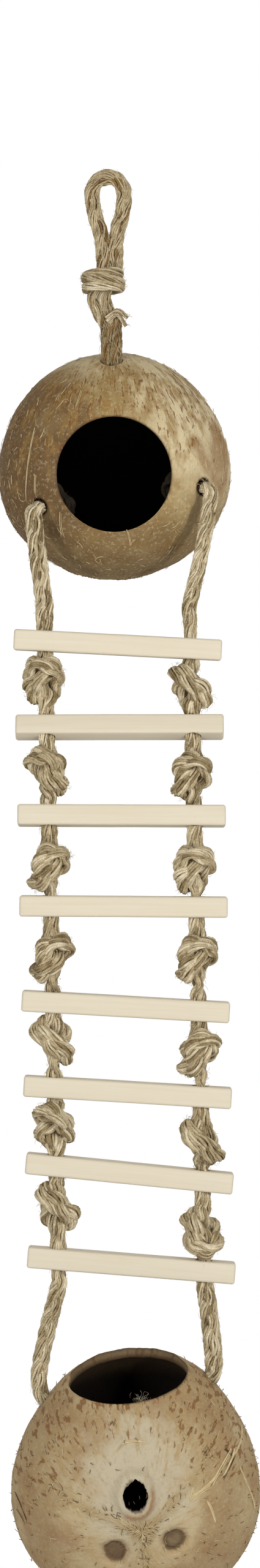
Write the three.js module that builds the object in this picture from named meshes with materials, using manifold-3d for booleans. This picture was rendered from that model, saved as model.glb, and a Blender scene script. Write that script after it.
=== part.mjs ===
// Hanging coconut ladder for birds and small pets: a coconut house on a rope loop, a ladder of
// eight wooden rungs on two knotted ropes, and an open coconut cup at the foot of the ladder.
// Millimetres, +Z up, the front is -Y. The origin is where a hook bears inside the loop.
import * as THREE from "three";
import { mergeVertices } from "three/addons/utils/BufferGeometryUtils.js";
import Module from "manifold-3d";

const wasm = await Module();
wasm.setup();

// Rope: laid jute. Touching pieces keep SEAT_GAP, and a rope has room in its hole.
const ROPE_DIAMETER = 7;
const SEAT_GAP = 0.3;
const HOLE_CLEARANCE = 0.6;

// Tight overhand knot, in rope diameters. From its middle, half of the rope goes round a bight,
// back under the other half's bight, and out along the axis. The other half turns the other way.
const KNOT_PATH = [
  [0.76, 0, 0],
  [0.62, -0.76, -0.62],
  [0.24, -0.95, -0.9],
  [-0.19, -0.95, -1.09],
  [-0.62, -0.71, -1.09],
  [-0.9, -0.33, -1],
  [-1, 0.05, -0.71],
  [-0.9, 0.33, -0.38],
  [-0.62, 0.48, 0],
  [-0.29, 0.38, 0.29],
  [-0.1, 0.1, 0.62],
  [0, 0, 1.09],
];
const KNOT_HEIGHT = 2.93;
const KNOT_SQUEEZE = 0.84;

// Hanging loop, the collar tied round its two legs, and the doubled stem into the house.
const LOOP_LENGTH = 30;
const LOOP_WIDTH = 16.6;
const LOOP_SHOULDER = 3.4;
const THROAT_LENGTH = 11;
const COLLAR_WIDTH = 21.4;
const COLLAR_HEIGHT = 10.5;
const COLLAR_SHIFT = 3;
const TIE_LENGTH = 17.5;
const TAIL_REACH = 9;
const TAIL_FORWARD = 2.5;
const STEM_DIAMETER = 9.6;
const STEM_LENGTH = 12;

// Coconut shells: reach from the middle to the sides and to the poles, wall, and the holes cut in
// them. The house is widest below its middle, and the cup lies on its side, a little taller than wide.
const HOUSE_RADIUS = 57;
const HOUSE_CROWN = 60;
const HOUSE_BASE = 51;
const CUP_RADIUS = 59.5;
const CUP_TALL = 63.5;
const CUP_POLE = 57;
const SHELL_WALL = 4;
const HOUSE_RIDGE = 1.2;
const CUP_RIDGE = 2;
const HOUSE_DOOR = 55;
const HOUSE_DOOR_DIP = 5;
const CUP_MOUTH = 57;
const CUP_MOUTH_LEAN = 16;
const CUP_MOUTH_SIDE = 5;
const CUP_POLE_DIP = 12;
const CUP_POLE_SIDE = 2.5;
const EYE_RING = 16.5;
const EYE_TURN = 102;
const EYE_DIAMETER = 11;
const EYE_DEPTH = 1.4;
const OPEN_EYE = 13;

// Where the ropes go into the shells, measured from the shells' centres.
const HANG_HOLE_FORWARD = 25.9;
const LADDER_FORWARD = 42;
const HOUSE_HOLE_SIDE = { left: 36, right: 42.5 };
const HOUSE_HOLE_DROP = { left: 18, right: 10 };
const HOUSE_HOLE_SPREAD = 0.4;
const CUP_HOLE_ANGLE = { left: 41, right: 51 };
const HOUSE_NECK = 4;
const CUP_NECK = 6;
const BEND_REACH = 4.5;
const LOOSE_KNOT_DEPTH = 28;

// Ladder: square rungs, and the bare rope that was left above and below each knot by hand.
const RUNG_LENGTH = 100;
const RUNG_SIDE = 10;
const RUNG_EDGE = 1.2;
const ROPE_SPACING = 70;
const RUNG_ROLL = [0, -24, -9, 0, 0, 0, 0, 0];
const FIRST_RUNG_DROP = { left: 83, right: 88.2 };
const FLEX_LENGTH = 9;
const BARE_ABOVE = {
  left: [3.2, 4.2, 9, 9.4, 3.2, 3.2, 4.6],
  right: [3, 6.6, 9.4, 9.6, 5.2, 6.4, 9.8],
};
const BARE_BELOW = {
  left: [6.1, 5.3, 3.2, 6.3, 7.2, 3.9, 9.6],
  right: [2.5, 3.3, 3, 9.7, 5.4, 3.5, 3],
};
const CUP_DROP = 103;
const CUP_FORWARD = 1.4;

// Turn of each knot about its rope, as it was tied.
const KNOT_TURN = {
  left: [20, 200, 150, 130, 340, 40, 215],
  right: [250, 120, 100, 160, 110, 330, 75],
};

const JUTE = { color: 0xa8916b, roughness: 0.95, metalness: 0 };
const SHELL = { color: 0x8d7550, roughness: 0.85, metalness: 0 };
const POPLAR = { color: 0xe6d8be, roughness: 0.7, metalness: 0 };

const SIDES = ["left", "right"];
const ROPE_SIDES = 8;
const KNOT_SIDES = 6;
const KNOT_STEPS = 24;
const ropeRadius = ROPE_DIAMETER / 2;
const squeezedRadius = ropeRadius * KNOT_SQUEEZE;
const knotHalf = (KNOT_HEIGHT * ROPE_DIAMETER) / 2;
const rungHole = ropeRadius + HOLE_CLEARANCE;
const up = new THREE.Vector3(0, 0, 1);

const rad = THREE.MathUtils.degToRad;
const point = (x, y, z) => new THREE.Vector3(x, y, z);
const signOf = (side) => (side === "left" ? -1 : 1);

const ladder = new THREE.Group();

function addMesh(name, geometry, look) {
  const mesh = new THREE.Mesh(geometry, new THREE.MeshStandardMaterial(look));
  mesh.name = name;
  ladder.add(mesh);
  return mesh;
}

// A closed geometry as a solid that can be joined and cut.
function solid(geometry) {
  const bare = geometry.clone();
  bare.deleteAttribute("normal");
  bare.deleteAttribute("uv");
  const merged = mergeVertices(bare, 1e-4);
  return new wasm.Manifold(
    new wasm.Mesh({
      numProp: 3,
      vertProperties: merged.attributes.position.array,
      triVerts: new Uint32Array(merged.index.array),
    }),
  );
}

function geometryOf(body) {
  const mesh = body.getMesh();
  const geometry = new THREE.BufferGeometry();
  geometry.setAttribute("position", new THREE.BufferAttribute(mesh.vertProperties, 3));
  geometry.setIndex(new THREE.BufferAttribute(mesh.triVerts, 1));
  geometry.computeVertexNormals();
  return geometry;
}

// A rope of round section along a curve, with flat cut ends.
function rope(curve, steps, radius = ropeRadius, sides = ROPE_SIDES) {
  const section = new THREE.Shape();
  section.moveTo(radius, 0);
  for (let i = 1; i < sides; i++) {
    const turn = (2 * Math.PI * i) / sides;
    section.lineTo(radius * Math.cos(turn), radius * Math.sin(turn));
  }
  section.closePath();
  return new THREE.ExtrudeGeometry(section, { steps, extrudePath: curve, bevelEnabled: false });
}

function bentRope(points, steps, radius = ropeRadius) {
  return rope(new THREE.CatmullRomCurve3(points), steps, radius);
}

function straightRope(from, to, radius = ropeRadius) {
  return rope(new THREE.LineCurve3(from, to), 1, radius);
}

// The turn that takes the vertical to a direction.
function turnTo(direction) {
  return new THREE.Quaternion().setFromUnitVectors(up, direction.clone().normalize());
}

// A drill bit that cuts a round hole through a point, along a direction.
function drill(at, along, radius, length, sides = 20) {
  const bit = new THREE.CylinderGeometry(radius, radius, length, sides);
  bit.rotateX(Math.PI / 2);
  bit.applyQuaternion(turnTo(along));
  bit.translate(at.x, at.y, at.z);
  return solid(bit);
}

function tieKnot(topEnd = knotHalf, bottomEnd = knotHalf) {
  const halfWay = () => KNOT_PATH.map((p) => point(...p).multiplyScalar(ROPE_DIAMETER));
  const upper = [...halfWay(), point(0, 0, topEnd)];
  const lower = [...halfWay().slice(1), point(0, 0, bottomEnd)];
  lower.forEach((p) => p.multiply(point(1, -1, -1)));
  const curve = new THREE.CatmullRomCurve3([...lower.reverse(), ...upper]);
  return { curve, geometry: rope(curve, KNOT_STEPS, squeezedRadius, KNOT_SIDES) };
}

// Least gap between a rope's turns, measured on points more than two diameters apart along it.
function leastGap(curve, radius) {
  const places = curve.getSpacedPoints(300);
  const spacing = curve.getLength() / 300;
  let least = Infinity;
  places.forEach((p, i) => {
    places.slice(i + Math.ceil((4 * radius) / spacing)).forEach((q) => {
      least = Math.min(least, p.distanceTo(q) - 2 * radius);
    });
  });
  return least;
}

// A coconut is an egg with three blunt ridges from pole to pole, one of them at its back.
const ridgeAt = (round) => Math.cos(3 * (round - Math.PI / 2));

function shellSkin({ wide, tall, crown, base, ridge }, wall) {
  const skin = new THREE.SphereGeometry(1, 24, 14);
  skin.rotateX(Math.PI / 2);
  const places = skin.attributes.position;
  for (let i = 0; i < places.count; i++) {
    const p = point().fromBufferAttribute(places, i);
    const proud = ridge * ridgeAt(Math.atan2(p.y, p.x)) * (1 - p.z * p.z) - wall;
    const pole = (p.z > 0 ? crown : base) - wall;
    places.setXYZ(i, p.x * (wide + proud), p.y * (tall + proud), p.z * pole);
  }
  return skin;
}

function hollowShell(size, centre, poleWay) {
  const [outer, inner] = [0, SHELL_WALL].map((wall) => {
    return solid(shellSkin(size, wall).applyQuaternion(turnTo(poleWay)));
  });
  return outer.subtract(inner).translate(centre.toArray());
}

// The three eyes of the nut lie round one pole, and one of them may be drilled open.
function cutEyes(shell, centre, pole, poleWay, openEye) {
  const across = point(1, 0, 0).projectOnPlane(poleWay).normalize();
  const upward = across.clone().cross(poleWay);
  for (let i = 0; i < 3; i++) {
    const round = rad(EYE_TURN + 120 * i);
    const aside = across.clone().multiplyScalar(Math.cos(round));
    aside.addScaledVector(upward, -Math.sin(round));
    const eyeWay = poleWay.clone().addScaledVector(aside, EYE_RING / pole).normalize();
    const open = openEye && i === 0;
    const depth = open ? 3 * SHELL_WALL : EYE_DEPTH;
    const radius = (open ? OPEN_EYE : EYE_DIAMETER) / 2;
    const rim = pole - radius ** 2 / (2 * pole);
    const middle = rim + (SHELL_WALL - depth) / 2;
    const eyeAt = centre.clone().addScaledVector(eyeWay, middle);
    shell = shell.subtract(drill(eyeAt, eyeWay, radius, SHELL_WALL + depth, 12));
  }
  return shell;
}

// A knotted rope end inside a shell, as far below the hole's rim as it hangs.
function endKnot(hole, outward, depth, neck) {
  const { geometry } = tieKnot(depth + neck, knotHalf);
  geometry.applyQuaternion(turnTo(outward));
  const centre = hole.clone().addScaledVector(outward, -depth);
  return geometry.translate(centre.x, centre.y, centre.z);
}

// The rope's neck goes out through the hole, and its knot is drawn up until it bears on the wall.
function addStopKnot(name, shell, hole, outward, neck) {
  let depth = LOOSE_KNOT_DEPTH;
  let room = LOOSE_KNOT_DEPTH;
  while (room > SEAT_GAP / 10) {
    room = shell.minGap(solid(endKnot(hole, outward, depth, neck)), ROPE_DIAMETER) - SEAT_GAP;
    depth -= Math.max(room, 0);
  }
  addMesh(name, endKnot(hole, outward, depth, neck), JUTE);
}

// Heights down the hanger, from the hook to the house.
const throatTop = -LOOP_LENGTH - SEAT_GAP;
const collarTop = throatTop - THROAT_LENGTH - SEAT_GAP;
const collarMiddle = collarTop - COLLAR_HEIGHT / 2;
const tieBottom = collarTop - COLLAR_HEIGHT - TIE_LENGTH;
const stemTop = tieBottom - SEAT_GAP;
const stemBottom = stemTop - STEM_LENGTH;
const legOffset = ropeRadius + SEAT_GAP;

// The teardrop loop: from one leg up over the hook and down to the other.
function loopHalf(sign) {
  const wide = LOOP_WIDTH / 2;
  return [
    point(sign * legOffset, 0, -LOOP_LENGTH),
    point(sign * legOffset, 0, -0.9 * LOOP_LENGTH),
    point(sign * (legOffset + 0.14 * wide), 0, -0.72 * LOOP_LENGTH),
    point(sign * 0.84 * wide, 0, -0.5 * LOOP_LENGTH),
    point(sign * wide, 0, -0.22 * LOOP_LENGTH),
    point(sign * 0.74 * wide, 0, ropeRadius - LOOP_SHOULDER),
  ];
}

function addHangingLoop() {
  const top = point(0, 0, ropeRadius);
  const centreline = [...loopHalf(-1), top, ...loopHalf(1).reverse()];
  addMesh("hanging_loop", bentRope(centreline, 26), JUTE);
  for (const side of SIDES) {
    const x = signOf(side) * legOffset;
    const leg = straightRope(point(x, 0, throatTop - THROAT_LENGTH), point(x, 0, throatTop));
    addMesh(`loop_leg_${side}`, leg, JUTE);
  }
}

// The collar is a turn of rope pulled tight round both legs. Below it one leg swings out and
// joins the stem, and the other ends in a short cut tail.
function addHangingKnot() {
  const ring = new THREE.TorusGeometry(COLLAR_WIDTH / 2 - ropeRadius, ropeRadius, 8, 18);
  ring.scale(1, 0.86, COLLAR_HEIGHT / ROPE_DIAMETER);
  ring.rotateY(rad(4));
  ring.translate(-COLLAR_SHIFT, 0, collarMiddle);
  const standing = bentRope(
    [
      point(-legOffset, 0, collarTop),
      point(-legOffset, 0, collarTop - 0.15 * COLLAR_HEIGHT),
      point(-legOffset - 0.6 * COLLAR_SHIFT, 0, collarMiddle),
      point(-legOffset - COLLAR_SHIFT, 0.5, collarMiddle - COLLAR_HEIGHT),
      point(-legOffset, 0.5, tieBottom + 0.4 * TIE_LENGTH),
      point(0, 0, tieBottom + 0.1 * TIE_LENGTH),
      point(0, 0, tieBottom),
    ],
    10,
  );
  const ending = bentRope(
    [
      point(legOffset, 0, collarTop),
      point(legOffset, 0, collarTop - 0.15 * COLLAR_HEIGHT),
      point(legOffset - 0.8 * COLLAR_SHIFT, 0, collarMiddle),
      point(legOffset - COLLAR_SHIFT, -1, collarMiddle - COLLAR_HEIGHT),
      point(legOffset, -0.8 * TAIL_FORWARD, tieBottom + 0.6 * TIE_LENGTH),
      point(TAIL_REACH, -TAIL_FORWARD, tieBottom + 0.32 * TIE_LENGTH),
    ],
    9,
  );
  const knot = solid(ring).add(solid(standing)).add(solid(ending));
  addMesh("hanging_knot", geometryOf(knot), JUTE);
}

function addStem() {
  const stem = straightRope(point(0, 0, stemBottom), point(0, 0, stemTop), STEM_DIAMETER / 2);
  addMesh("hanging_stem", stem, JUTE);
}

// The house hangs from a hole in front of its crown, so that the ladder's pull keeps it level.
const crownSlope = Math.atan2(
  HOUSE_CROWN * HANG_HOLE_FORWARD,
  HOUSE_RADIUS * Math.sqrt(HOUSE_RADIUS ** 2 - HANG_HOLE_FORWARD ** 2),
);
const crownHeight = HOUSE_CROWN * Math.sqrt(1 - (HANG_HOLE_FORWARD / HOUSE_RADIUS) ** 2);
const stemHole = STEM_DIAMETER / 2 + HOLE_CLEARANCE;
const crownRim = stemBottom - SEAT_GAP - stemHole * Math.tan(crownSlope);
const houseCentre = point(0, HANG_HOLE_FORWARD, crownRim - crownHeight);
const ladderY = HANG_HOLE_FORWARD - LADDER_FORWARD;

// The hole that a ladder rope leaves the house by. It is drilled from the front, spread a little.
function houseHole(side) {
  const x = signOf(side) * HOUSE_HOLE_SIDE[side];
  const z = -HOUSE_HOLE_DROP[side];
  const flat = HOUSE_RADIUS ** 2 - x ** 2 - (z * (HOUSE_RADIUS / HOUSE_BASE)) ** 2;
  const onShell = point(x, -Math.sqrt(flat), z);
  const spread = point(HOUSE_HOLE_SPREAD, 1, HOUSE_HOLE_SPREAD);
  const outward = onShell.clone().multiply(spread).normalize();
  return { at: onShell.add(houseCentre), outward };
}

function addHouse() {
  const doorWay = point(0, -Math.cos(rad(HOUSE_DOOR_DIP)), -Math.sin(rad(HOUSE_DOOR_DIP)));
  const doorAt = houseCentre.clone().addScaledVector(doorWay, HOUSE_RADIUS);
  const eyesWay = point(0, 0, -1);
  const size = {
    wide: HOUSE_RADIUS,
    tall: HOUSE_RADIUS,
    crown: HOUSE_CROWN,
    base: HOUSE_BASE,
    ridge: HOUSE_RIDGE,
  };
  let shell = hollowShell(size, houseCentre, up);
  shell = cutEyes(shell, houseCentre, HOUSE_BASE, eyesWay, false);
  shell = shell.subtract(drill(doorAt, doorWay, HOUSE_DOOR / 2, HOUSE_RADIUS, 36));
  const crown = point(0, 0, crownRim);
  shell = shell.subtract(drill(crown, up, stemHole, 2 * SHELL_WALL + 4 * stemHole));
  for (const side of SIDES) {
    const { at, outward } = houseHole(side);
    shell = shell.subtract(drill(at, outward, rungHole, 8 * SHELL_WALL));
    addStopKnot(`house_end_knot_${side}`, shell, at, outward, HOUSE_NECK);
  }
  addMesh("coconut_house", geometryOf(shell), SHELL);
  addStopKnot("house_hanging_knot", shell, crown, up, stemBottom - SEAT_GAP - crownRim);
}

// Rung heights on each rope, worked down from the house by rungs, knots and bare rope.
function rungHalf(index) {
  const roll = rad(Math.abs(RUNG_ROLL[index]));
  return (RUNG_SIDE / 2) * (Math.cos(roll) + Math.sin(roll));
}

function ropeHeights(side) {
  const rungs = [houseCentre.z - FIRST_RUNG_DROP[side]];
  const knots = [];
  BARE_ABOVE[side].forEach((above, i) => {
    const knotTop = rungs[i] - rungHalf(i) - above;
    const nextTop = knotTop - 2 * knotHalf - BARE_BELOW[side][i];
    knots.push(knotTop - knotHalf);
    rungs.push(nextTop - rungHalf(i + 1));
  });
  return { rungs, knots };
}

const heights = { left: ropeHeights("left"), right: ropeHeights("right") };
const rungCount = heights.left.rungs.length;
const ropeX = (side) => (signOf(side) * ROPE_SPACING) / 2;

// A rounded stick with two rope holes. The holes stay upright however the stick is rolled or tilted.
function rungGeometry(roll, tilt) {
  const inset = RUNG_SIDE / 2 - RUNG_EDGE;
  const section = new THREE.Shape();
  section.absarc(inset, inset, RUNG_EDGE, 0, Math.PI / 2);
  section.absarc(-inset, inset, RUNG_EDGE, Math.PI / 2, Math.PI);
  section.absarc(-inset, -inset, RUNG_EDGE, Math.PI, 1.5 * Math.PI);
  section.absarc(inset, -inset, RUNG_EDGE, 1.5 * Math.PI, 2 * Math.PI);
  const edge = RUNG_EDGE / 2;
  const stick = new THREE.ExtrudeGeometry(section, {
    depth: RUNG_LENGTH - 2 * edge,
    curveSegments: 2,
    bevelSize: edge,
    bevelOffset: -edge,
    bevelThickness: edge,
    bevelSegments: 1,
  });
  stick.translate(0, 0, edge - RUNG_LENGTH / 2);
  stick.rotateY(Math.PI / 2);
  stick.rotateX(rad(roll));
  const ropeWay = up.clone().applyAxisAngle(point(0, 1, 0), -tilt);
  let rung = solid(stick);
  for (const side of SIDES) {
    const hole = point(ropeX(side) / Math.cos(tilt), 0, 0);
    rung = rung.subtract(drill(hole, ropeWay, rungHole, 4 * RUNG_SIDE, 8));
  }
  return geometryOf(rung);
}

function addRung(index) {
  const left = heights.left.rungs[index];
  const right = heights.right.rungs[index];
  const tilt = Math.atan2(left - right, ROPE_SPACING);
  const rung = addMesh(`rung_${index + 1}`, rungGeometry(RUNG_ROLL[index], tilt), POPLAR);
  rung.position.set(0, ladderY, (left + right) / 2);
  rung.rotation.y = tilt;
}

// Rope from the house's hole down the front to the bend above the first rung.
function addHouseDrop(side) {
  const { at, outward } = houseHole(side);
  const x = ropeX(side);
  const bottom = heights[side].rungs[0] + rungHalf(0) + FLEX_LENGTH;
  const out = (length, down = 0) => {
    return at.clone().addScaledVector(outward, HOUSE_NECK + length).addScaledVector(up, -down);
  };
  const bent = out(BEND_REACH, 1.3 * BEND_REACH);
  const fall = bent.z - bottom;
  const hang = (share) => point(x, ladderY, bottom).lerp(bent, share).setZ(bottom + share * fall);
  const route = [
    out(SEAT_GAP),
    out(0.35 * BEND_REACH),
    out(0.85 * BEND_REACH, 0.4 * BEND_REACH),
    bent,
    hang(0.55),
    point(x, ladderY, bottom + 0.12 * fall),
    point(x, ladderY, bottom),
  ];
  addMesh(`house_rope_${side}`, bentRope(route, 16), JUTE);
}

// Rope through each rung, from the knot above it to the knot below.
function addRungRopes(side) {
  const { rungs, knots } = heights[side];
  const x = ropeX(side);
  for (let i = 0; i < rungCount - 1; i++) {
    const bend = rungs[0] + rungHalf(0) + FLEX_LENGTH;
    const top = i === 0 ? bend : knots[i - 1] - knotHalf;
    const from = point(x, ladderY, knots[i] + knotHalf + SEAT_GAP);
    const to = point(x, ladderY, top - SEAT_GAP);
    addMesh(`rung_rope_${i + 1}_${side}`, straightRope(from, to), JUTE);
    addKnotAt(side, i);
  }
}

function addKnotAt(side, index) {
  const knot = addMesh(`knot_${index + 1}_${side}`, tieKnot().geometry, JUTE);
  knot.position.set(ropeX(side), ladderY, heights[side].knots[index]);
  knot.rotation.z = rad(KNOT_TURN[side][index]);
}

// The cup hangs on two holes in its shoulders, level with the ladder.
const lastRung = rungCount - 1;
const lastHeight = (heights.left.rungs[lastRung] + heights.right.rungs[lastRung]) / 2;
const cupCentre = point(0, ladderY - CUP_FORWARD, lastHeight - CUP_DROP);

function cupHole(side) {
  const angle = rad(CUP_HOLE_ANGLE[side]);
  const across = signOf(side) * Math.cos(angle);
  const upward = Math.sin(angle);
  const proud = CUP_RIDGE * ridgeAt(angle);
  const onShell = point(across * (CUP_RADIUS + proud), 0, upward * (CUP_TALL + proud));
  const outward = point(across / CUP_RADIUS, 0, upward / CUP_TALL).normalize();
  return { at: onShell.add(cupCentre), outward };
}

// The cup's pole, with the three eyes of the nut, looks forward and a little down.
function addCup() {
  const poleWay = point(0, -Math.cos(rad(CUP_POLE_DIP)), -Math.sin(rad(CUP_POLE_DIP)));
  poleWay.applyAxisAngle(up, rad(CUP_POLE_SIDE));
  const mouthWay = point(0, 0, 1);
  mouthWay.applyAxisAngle(point(1, 0, 0), rad(CUP_MOUTH_LEAN));
  mouthWay.applyAxisAngle(point(0, 1, 0), -rad(CUP_MOUTH_SIDE));
  const size = {
    wide: CUP_RADIUS,
    tall: CUP_TALL,
    crown: CUP_POLE,
    base: CUP_POLE,
    ridge: CUP_RIDGE,
  };
  let shell = hollowShell(size, cupCentre, poleWay);
  const mouthAt = cupCentre.clone().addScaledVector(mouthWay, CUP_TALL);
  shell = shell.subtract(drill(mouthAt, mouthWay, CUP_MOUTH / 2, CUP_RADIUS, 36));
  shell = cutEyes(shell, cupCentre, CUP_POLE, poleWay, true);
  for (const side of SIDES) {
    const { at, outward } = cupHole(side);
    shell = shell.subtract(drill(at, outward, rungHole, 4 * SHELL_WALL));
    addStopKnot(`cup_end_knot_${side}`, shell, at, outward, CUP_NECK);
  }
  addMesh("coconut_cup", geometryOf(shell), SHELL);
}

// Rope from the last knot, through the last rung, spreading to the cup's shoulder.
function addCupRope(side) {
  const { at, outward } = cupHole(side);
  const x = ropeX(side);
  const top = heights[side].knots[lastRung - 1] - knotHalf - SEAT_GAP;
  const under = heights[side].rungs[lastRung] - rungHalf(lastRung);
  const out = (length) => at.clone().addScaledVector(outward, length);
  const end = out(CUP_NECK + SEAT_GAP);
  const fall = under - end.z;
  const route = [
    point(x, ladderY, top),
    point(x, ladderY, under),
    point(x, ladderY, under - 0.1 * fall),
    point(THREE.MathUtils.lerp(x, end.x, 0.62), ladderY, under - 0.55 * fall),
    out(CUP_NECK + ropeRadius),
    end,
  ];
  addMesh(`cup_rope_${side}`, bentRope(route, 14), JUTE);
}

const knotGap = leastGap(tieKnot().curve, squeezedRadius);
console.log(`Least gap between a knot's turns: ${knotGap.toFixed(2)} mm`);

addHangingLoop();
addHangingKnot();
addStem();
addHouse();
for (let i = 0; i < rungCount; i++) {
  addRung(i);
}
for (const side of SIDES) {
  addHouseDrop(side);
  addRungRopes(side);
  addCupRope(side);
}
addCup();

export default ladder;
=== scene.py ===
"""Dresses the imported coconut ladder: plaited jute ropes and knots, scraped coconut shells and
bare wooden rungs, in the frame's own metres. The front is -Y and the hook bears at the origin."""

import math
import random
from collections import namedtuple

import bmesh
import bpy
from mathutils import Matrix, Vector, noise
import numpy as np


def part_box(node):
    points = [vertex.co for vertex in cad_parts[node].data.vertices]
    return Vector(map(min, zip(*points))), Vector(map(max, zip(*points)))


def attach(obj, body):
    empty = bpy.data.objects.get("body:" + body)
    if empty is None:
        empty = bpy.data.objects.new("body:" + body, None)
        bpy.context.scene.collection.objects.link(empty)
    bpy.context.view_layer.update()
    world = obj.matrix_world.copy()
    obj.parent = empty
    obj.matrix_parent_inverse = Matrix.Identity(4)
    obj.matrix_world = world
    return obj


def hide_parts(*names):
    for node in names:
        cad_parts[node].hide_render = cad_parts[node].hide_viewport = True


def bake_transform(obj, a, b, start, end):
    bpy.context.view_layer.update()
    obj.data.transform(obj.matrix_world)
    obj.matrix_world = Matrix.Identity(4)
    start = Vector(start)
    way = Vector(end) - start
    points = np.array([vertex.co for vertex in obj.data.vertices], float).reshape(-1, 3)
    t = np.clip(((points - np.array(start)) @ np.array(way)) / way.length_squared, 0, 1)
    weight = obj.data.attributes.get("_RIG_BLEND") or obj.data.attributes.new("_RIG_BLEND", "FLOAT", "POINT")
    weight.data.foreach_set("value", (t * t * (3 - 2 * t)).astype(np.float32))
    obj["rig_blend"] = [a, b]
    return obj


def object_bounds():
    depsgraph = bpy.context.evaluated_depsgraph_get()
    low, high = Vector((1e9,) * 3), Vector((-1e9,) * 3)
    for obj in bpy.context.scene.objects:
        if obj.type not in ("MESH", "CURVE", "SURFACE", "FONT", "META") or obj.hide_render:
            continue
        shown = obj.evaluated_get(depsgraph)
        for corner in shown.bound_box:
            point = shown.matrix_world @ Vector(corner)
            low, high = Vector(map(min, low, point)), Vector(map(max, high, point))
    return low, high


MM = 0.001
SIDES = ("left", "right")
UP = Vector((0, 0, 1))
ACROSS = Vector((1, 0, 0))
random.seed(7)

# Camera, from the photograph's own view of the ladder's plane. The sensor is in millimetres.
VIEW_HEIGHT = 753 * MM
VIEW_CENTRE = Vector((4.4, -16.1, -291)) * MM
VIEW_DISTANCE = 1500 * MM
VIEW_ROLL = -1.25
SENSOR = 36

# Light: a tall soft box at each side of the camera, in watts and metres, and soft light from all
# round that is stronger from behind. The floor lies under the cup.
LAMP_POWER = {"left": 10.4, "right": 13.2}
LAMP_ASIDE = 0.95
LAMP_FORWARD = 1.3
LAMP_WIDE = 0.12
LAMP_TALL = 0.9
FRONT_LIGHT = 0.22
BACK_LIGHT = 0.9
PAPER_GREY = 0.8
FLOOR_REACH = 3
FLOOR_DROP = 30 * MM

# Jute plait: three flat strands weave over each other, each of loose yarns round two cores.
ROPE_DIAMETER = 7 * MM
STRANDS = 3
YARNS = 10
PLAIT_PITCH = 36 * MM
PLAIT_SQUARE = 0.22
STRAND_SWING = 1.5 * MM
STRAND_DEPTH = 1.2 * MM
STRAND_WIDE = 1.8 * MM
STRAND_FLAT = 1.05 * MM
CORE_RADIUS = 0.8 * MM
CORE_OFFSET = 0.7 * MM
YARN_RADIUS = 0.5 * MM
YARN_TWIST = 44 * MM
ROPE_STEP = 1.3 * MM
CURVE_STEPS = 12

# Which of a rope's materials the yarns have, how many of each, and which its cores and hairs have.
TONES = (0, 1, 2)
TONE_SHARES = (5, 3, 2)
# The cores take the third, darkest material, so the gaps between the yarns show dark: painted shade.
CORE_TONE = 2
HAIR_TONE = 3

# How far yarns stray round the strand, lift off it and swell, and how often in each metre. The
# shifts keep one yarn from doing what the next one does.
YARN_STRAY = 0.5
YARN_LIFT = 0.12
YARN_SWELL = 0.5
STRAYS_PER_METRE = 150
SWELLS_PER_METRE = 260
YARN_SHIFT = 3.1
STRAND_SHIFT = 50

# Hairs that stand off the rope: where they root in a rope of the plait's own size, how far they
# lean along the rope and round it, and how far out and aside their middles and tips lie, in parts
# of their length.
HAIR_RADIUS = 0.075 * MM
HAIR_LENGTH = 3 * MM
HAIR_SHORTEST = 0.25
HAIRS_PER_MM = 2.8
HAIR_ROOT = 2.9 * MM
HAIR_LEAN = 1.8
HAIR_STRAY = 0.8
HAIR_MIDDLE = (0.4, 0.35)
HAIR_TIP = (0.5, 0.85)
HAIR_POINT = 0.5

# How thick each rope was pulled or left loose, against the plait's own size, and how far it is
# drawn in at its first and its last end.
LOOP_SIZE = 1.07
LOOP_ENDS = (0.8, 0.8)
COLLAR_SIZE = 1.06
COLLAR_HAIR = 0.5
TIE_SIZE = 0.88
TAIL_SIZE = 0.66
TAIL_ENDS = (1, 0.7)
TAIL_HAIR = 0.4
STEM_SIZE = 0.92
DROP_SIZE = {"left": 1.22, "right": 1.04}
DROP_ENDS = (0.8, 0.78)
BAY_SIZE = 1.14
BAY_ENDS = (0.94, 0.9)
CUP_DROP_SIZE = {"left": 1.14, "right": 1.26}
CUP_DROP_ENDS = (0.84, 0.86)
STOP_SIZE = 0.84
FULL_ENDS = (1, 1)
END_REACH = 16 * MM
KNOT_SWELL = 0.26

# How far above and below each joint its rope begins and ends to bend.
DROP_FOLD = (7 * MM, 5 * MM)
BAY_FOLD = (2.5 * MM, 1 * MM)
BAY_FOLD_INSIDE = 2 * MM
CUP_FOLD = (1 * MM, 8 * MM)

# Hanging loop and the collar tied round its legs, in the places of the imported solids.
LOOP_LENGTH = 30 * MM
THROAT_LENGTH = 11 * MM
COLLAR_WIDTH = 21.4 * MM
COLLAR_HEIGHT = 10.5 * MM
COLLAR_SHIFT = 3.4 * MM
COLLAR_ROUND = 12
COLLAR_START = 0.3
COLLAR_FLAT = 0.86
SEAT_GAP = 0.3 * MM

# Each turn of the collar: its level in parts of the height, how it leans and how far out it lies.
COLLAR_TURNS = [(0.3, 0.08, 0.95), (0.02, -0.16, 1.02), (-0.3, 0, 0.98)]

# Half of the loop's way, from the collar up: how far from the middle, and how high, in mm. It is a
# little narrower than the solid's, as the photograph shows it.
LOOP_WAY = [
    (3.1, -47),
    (3.1, -34),
    (3.3, -27.5),
    (4.5, -22),
    (6, -16.5),
    (7.4, -10),
    (7.8, -5.5),
    (6.9, -0.8),
    (4.2, 2.7),
]

# Both legs from the collar's top down to the stem, and the cut tail's strands: x, y, z in mm.
STANDING_LEG = [(-3.4, 0, -42), (-5.6, 0.3, -47), (-8.2, 0.5, -53), (-7.2, 0.5, -59), (-1.7, 0, -69.6)]
ENDING_LEG = [(3.4, 0, -42), (0.4, -0.4, -47), (-2.6, -1, -53), (-1.8, -1.2, -59), (1.9, -0.4, -69.6)]
CUT_TAIL = [
    [(-2, -3.2, -65.5), (3.4, -4.6, -61.8), (8.2, -3.8, -65.4)],
    [(-1.5, -3.4, -67), (3, -5, -63.6), (7.4, -4.2, -69.4)],
    [(-1, -3, -66), (2.6, -4.2, -62.6), (5.8, -3.4, -64.2)],
]

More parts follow.
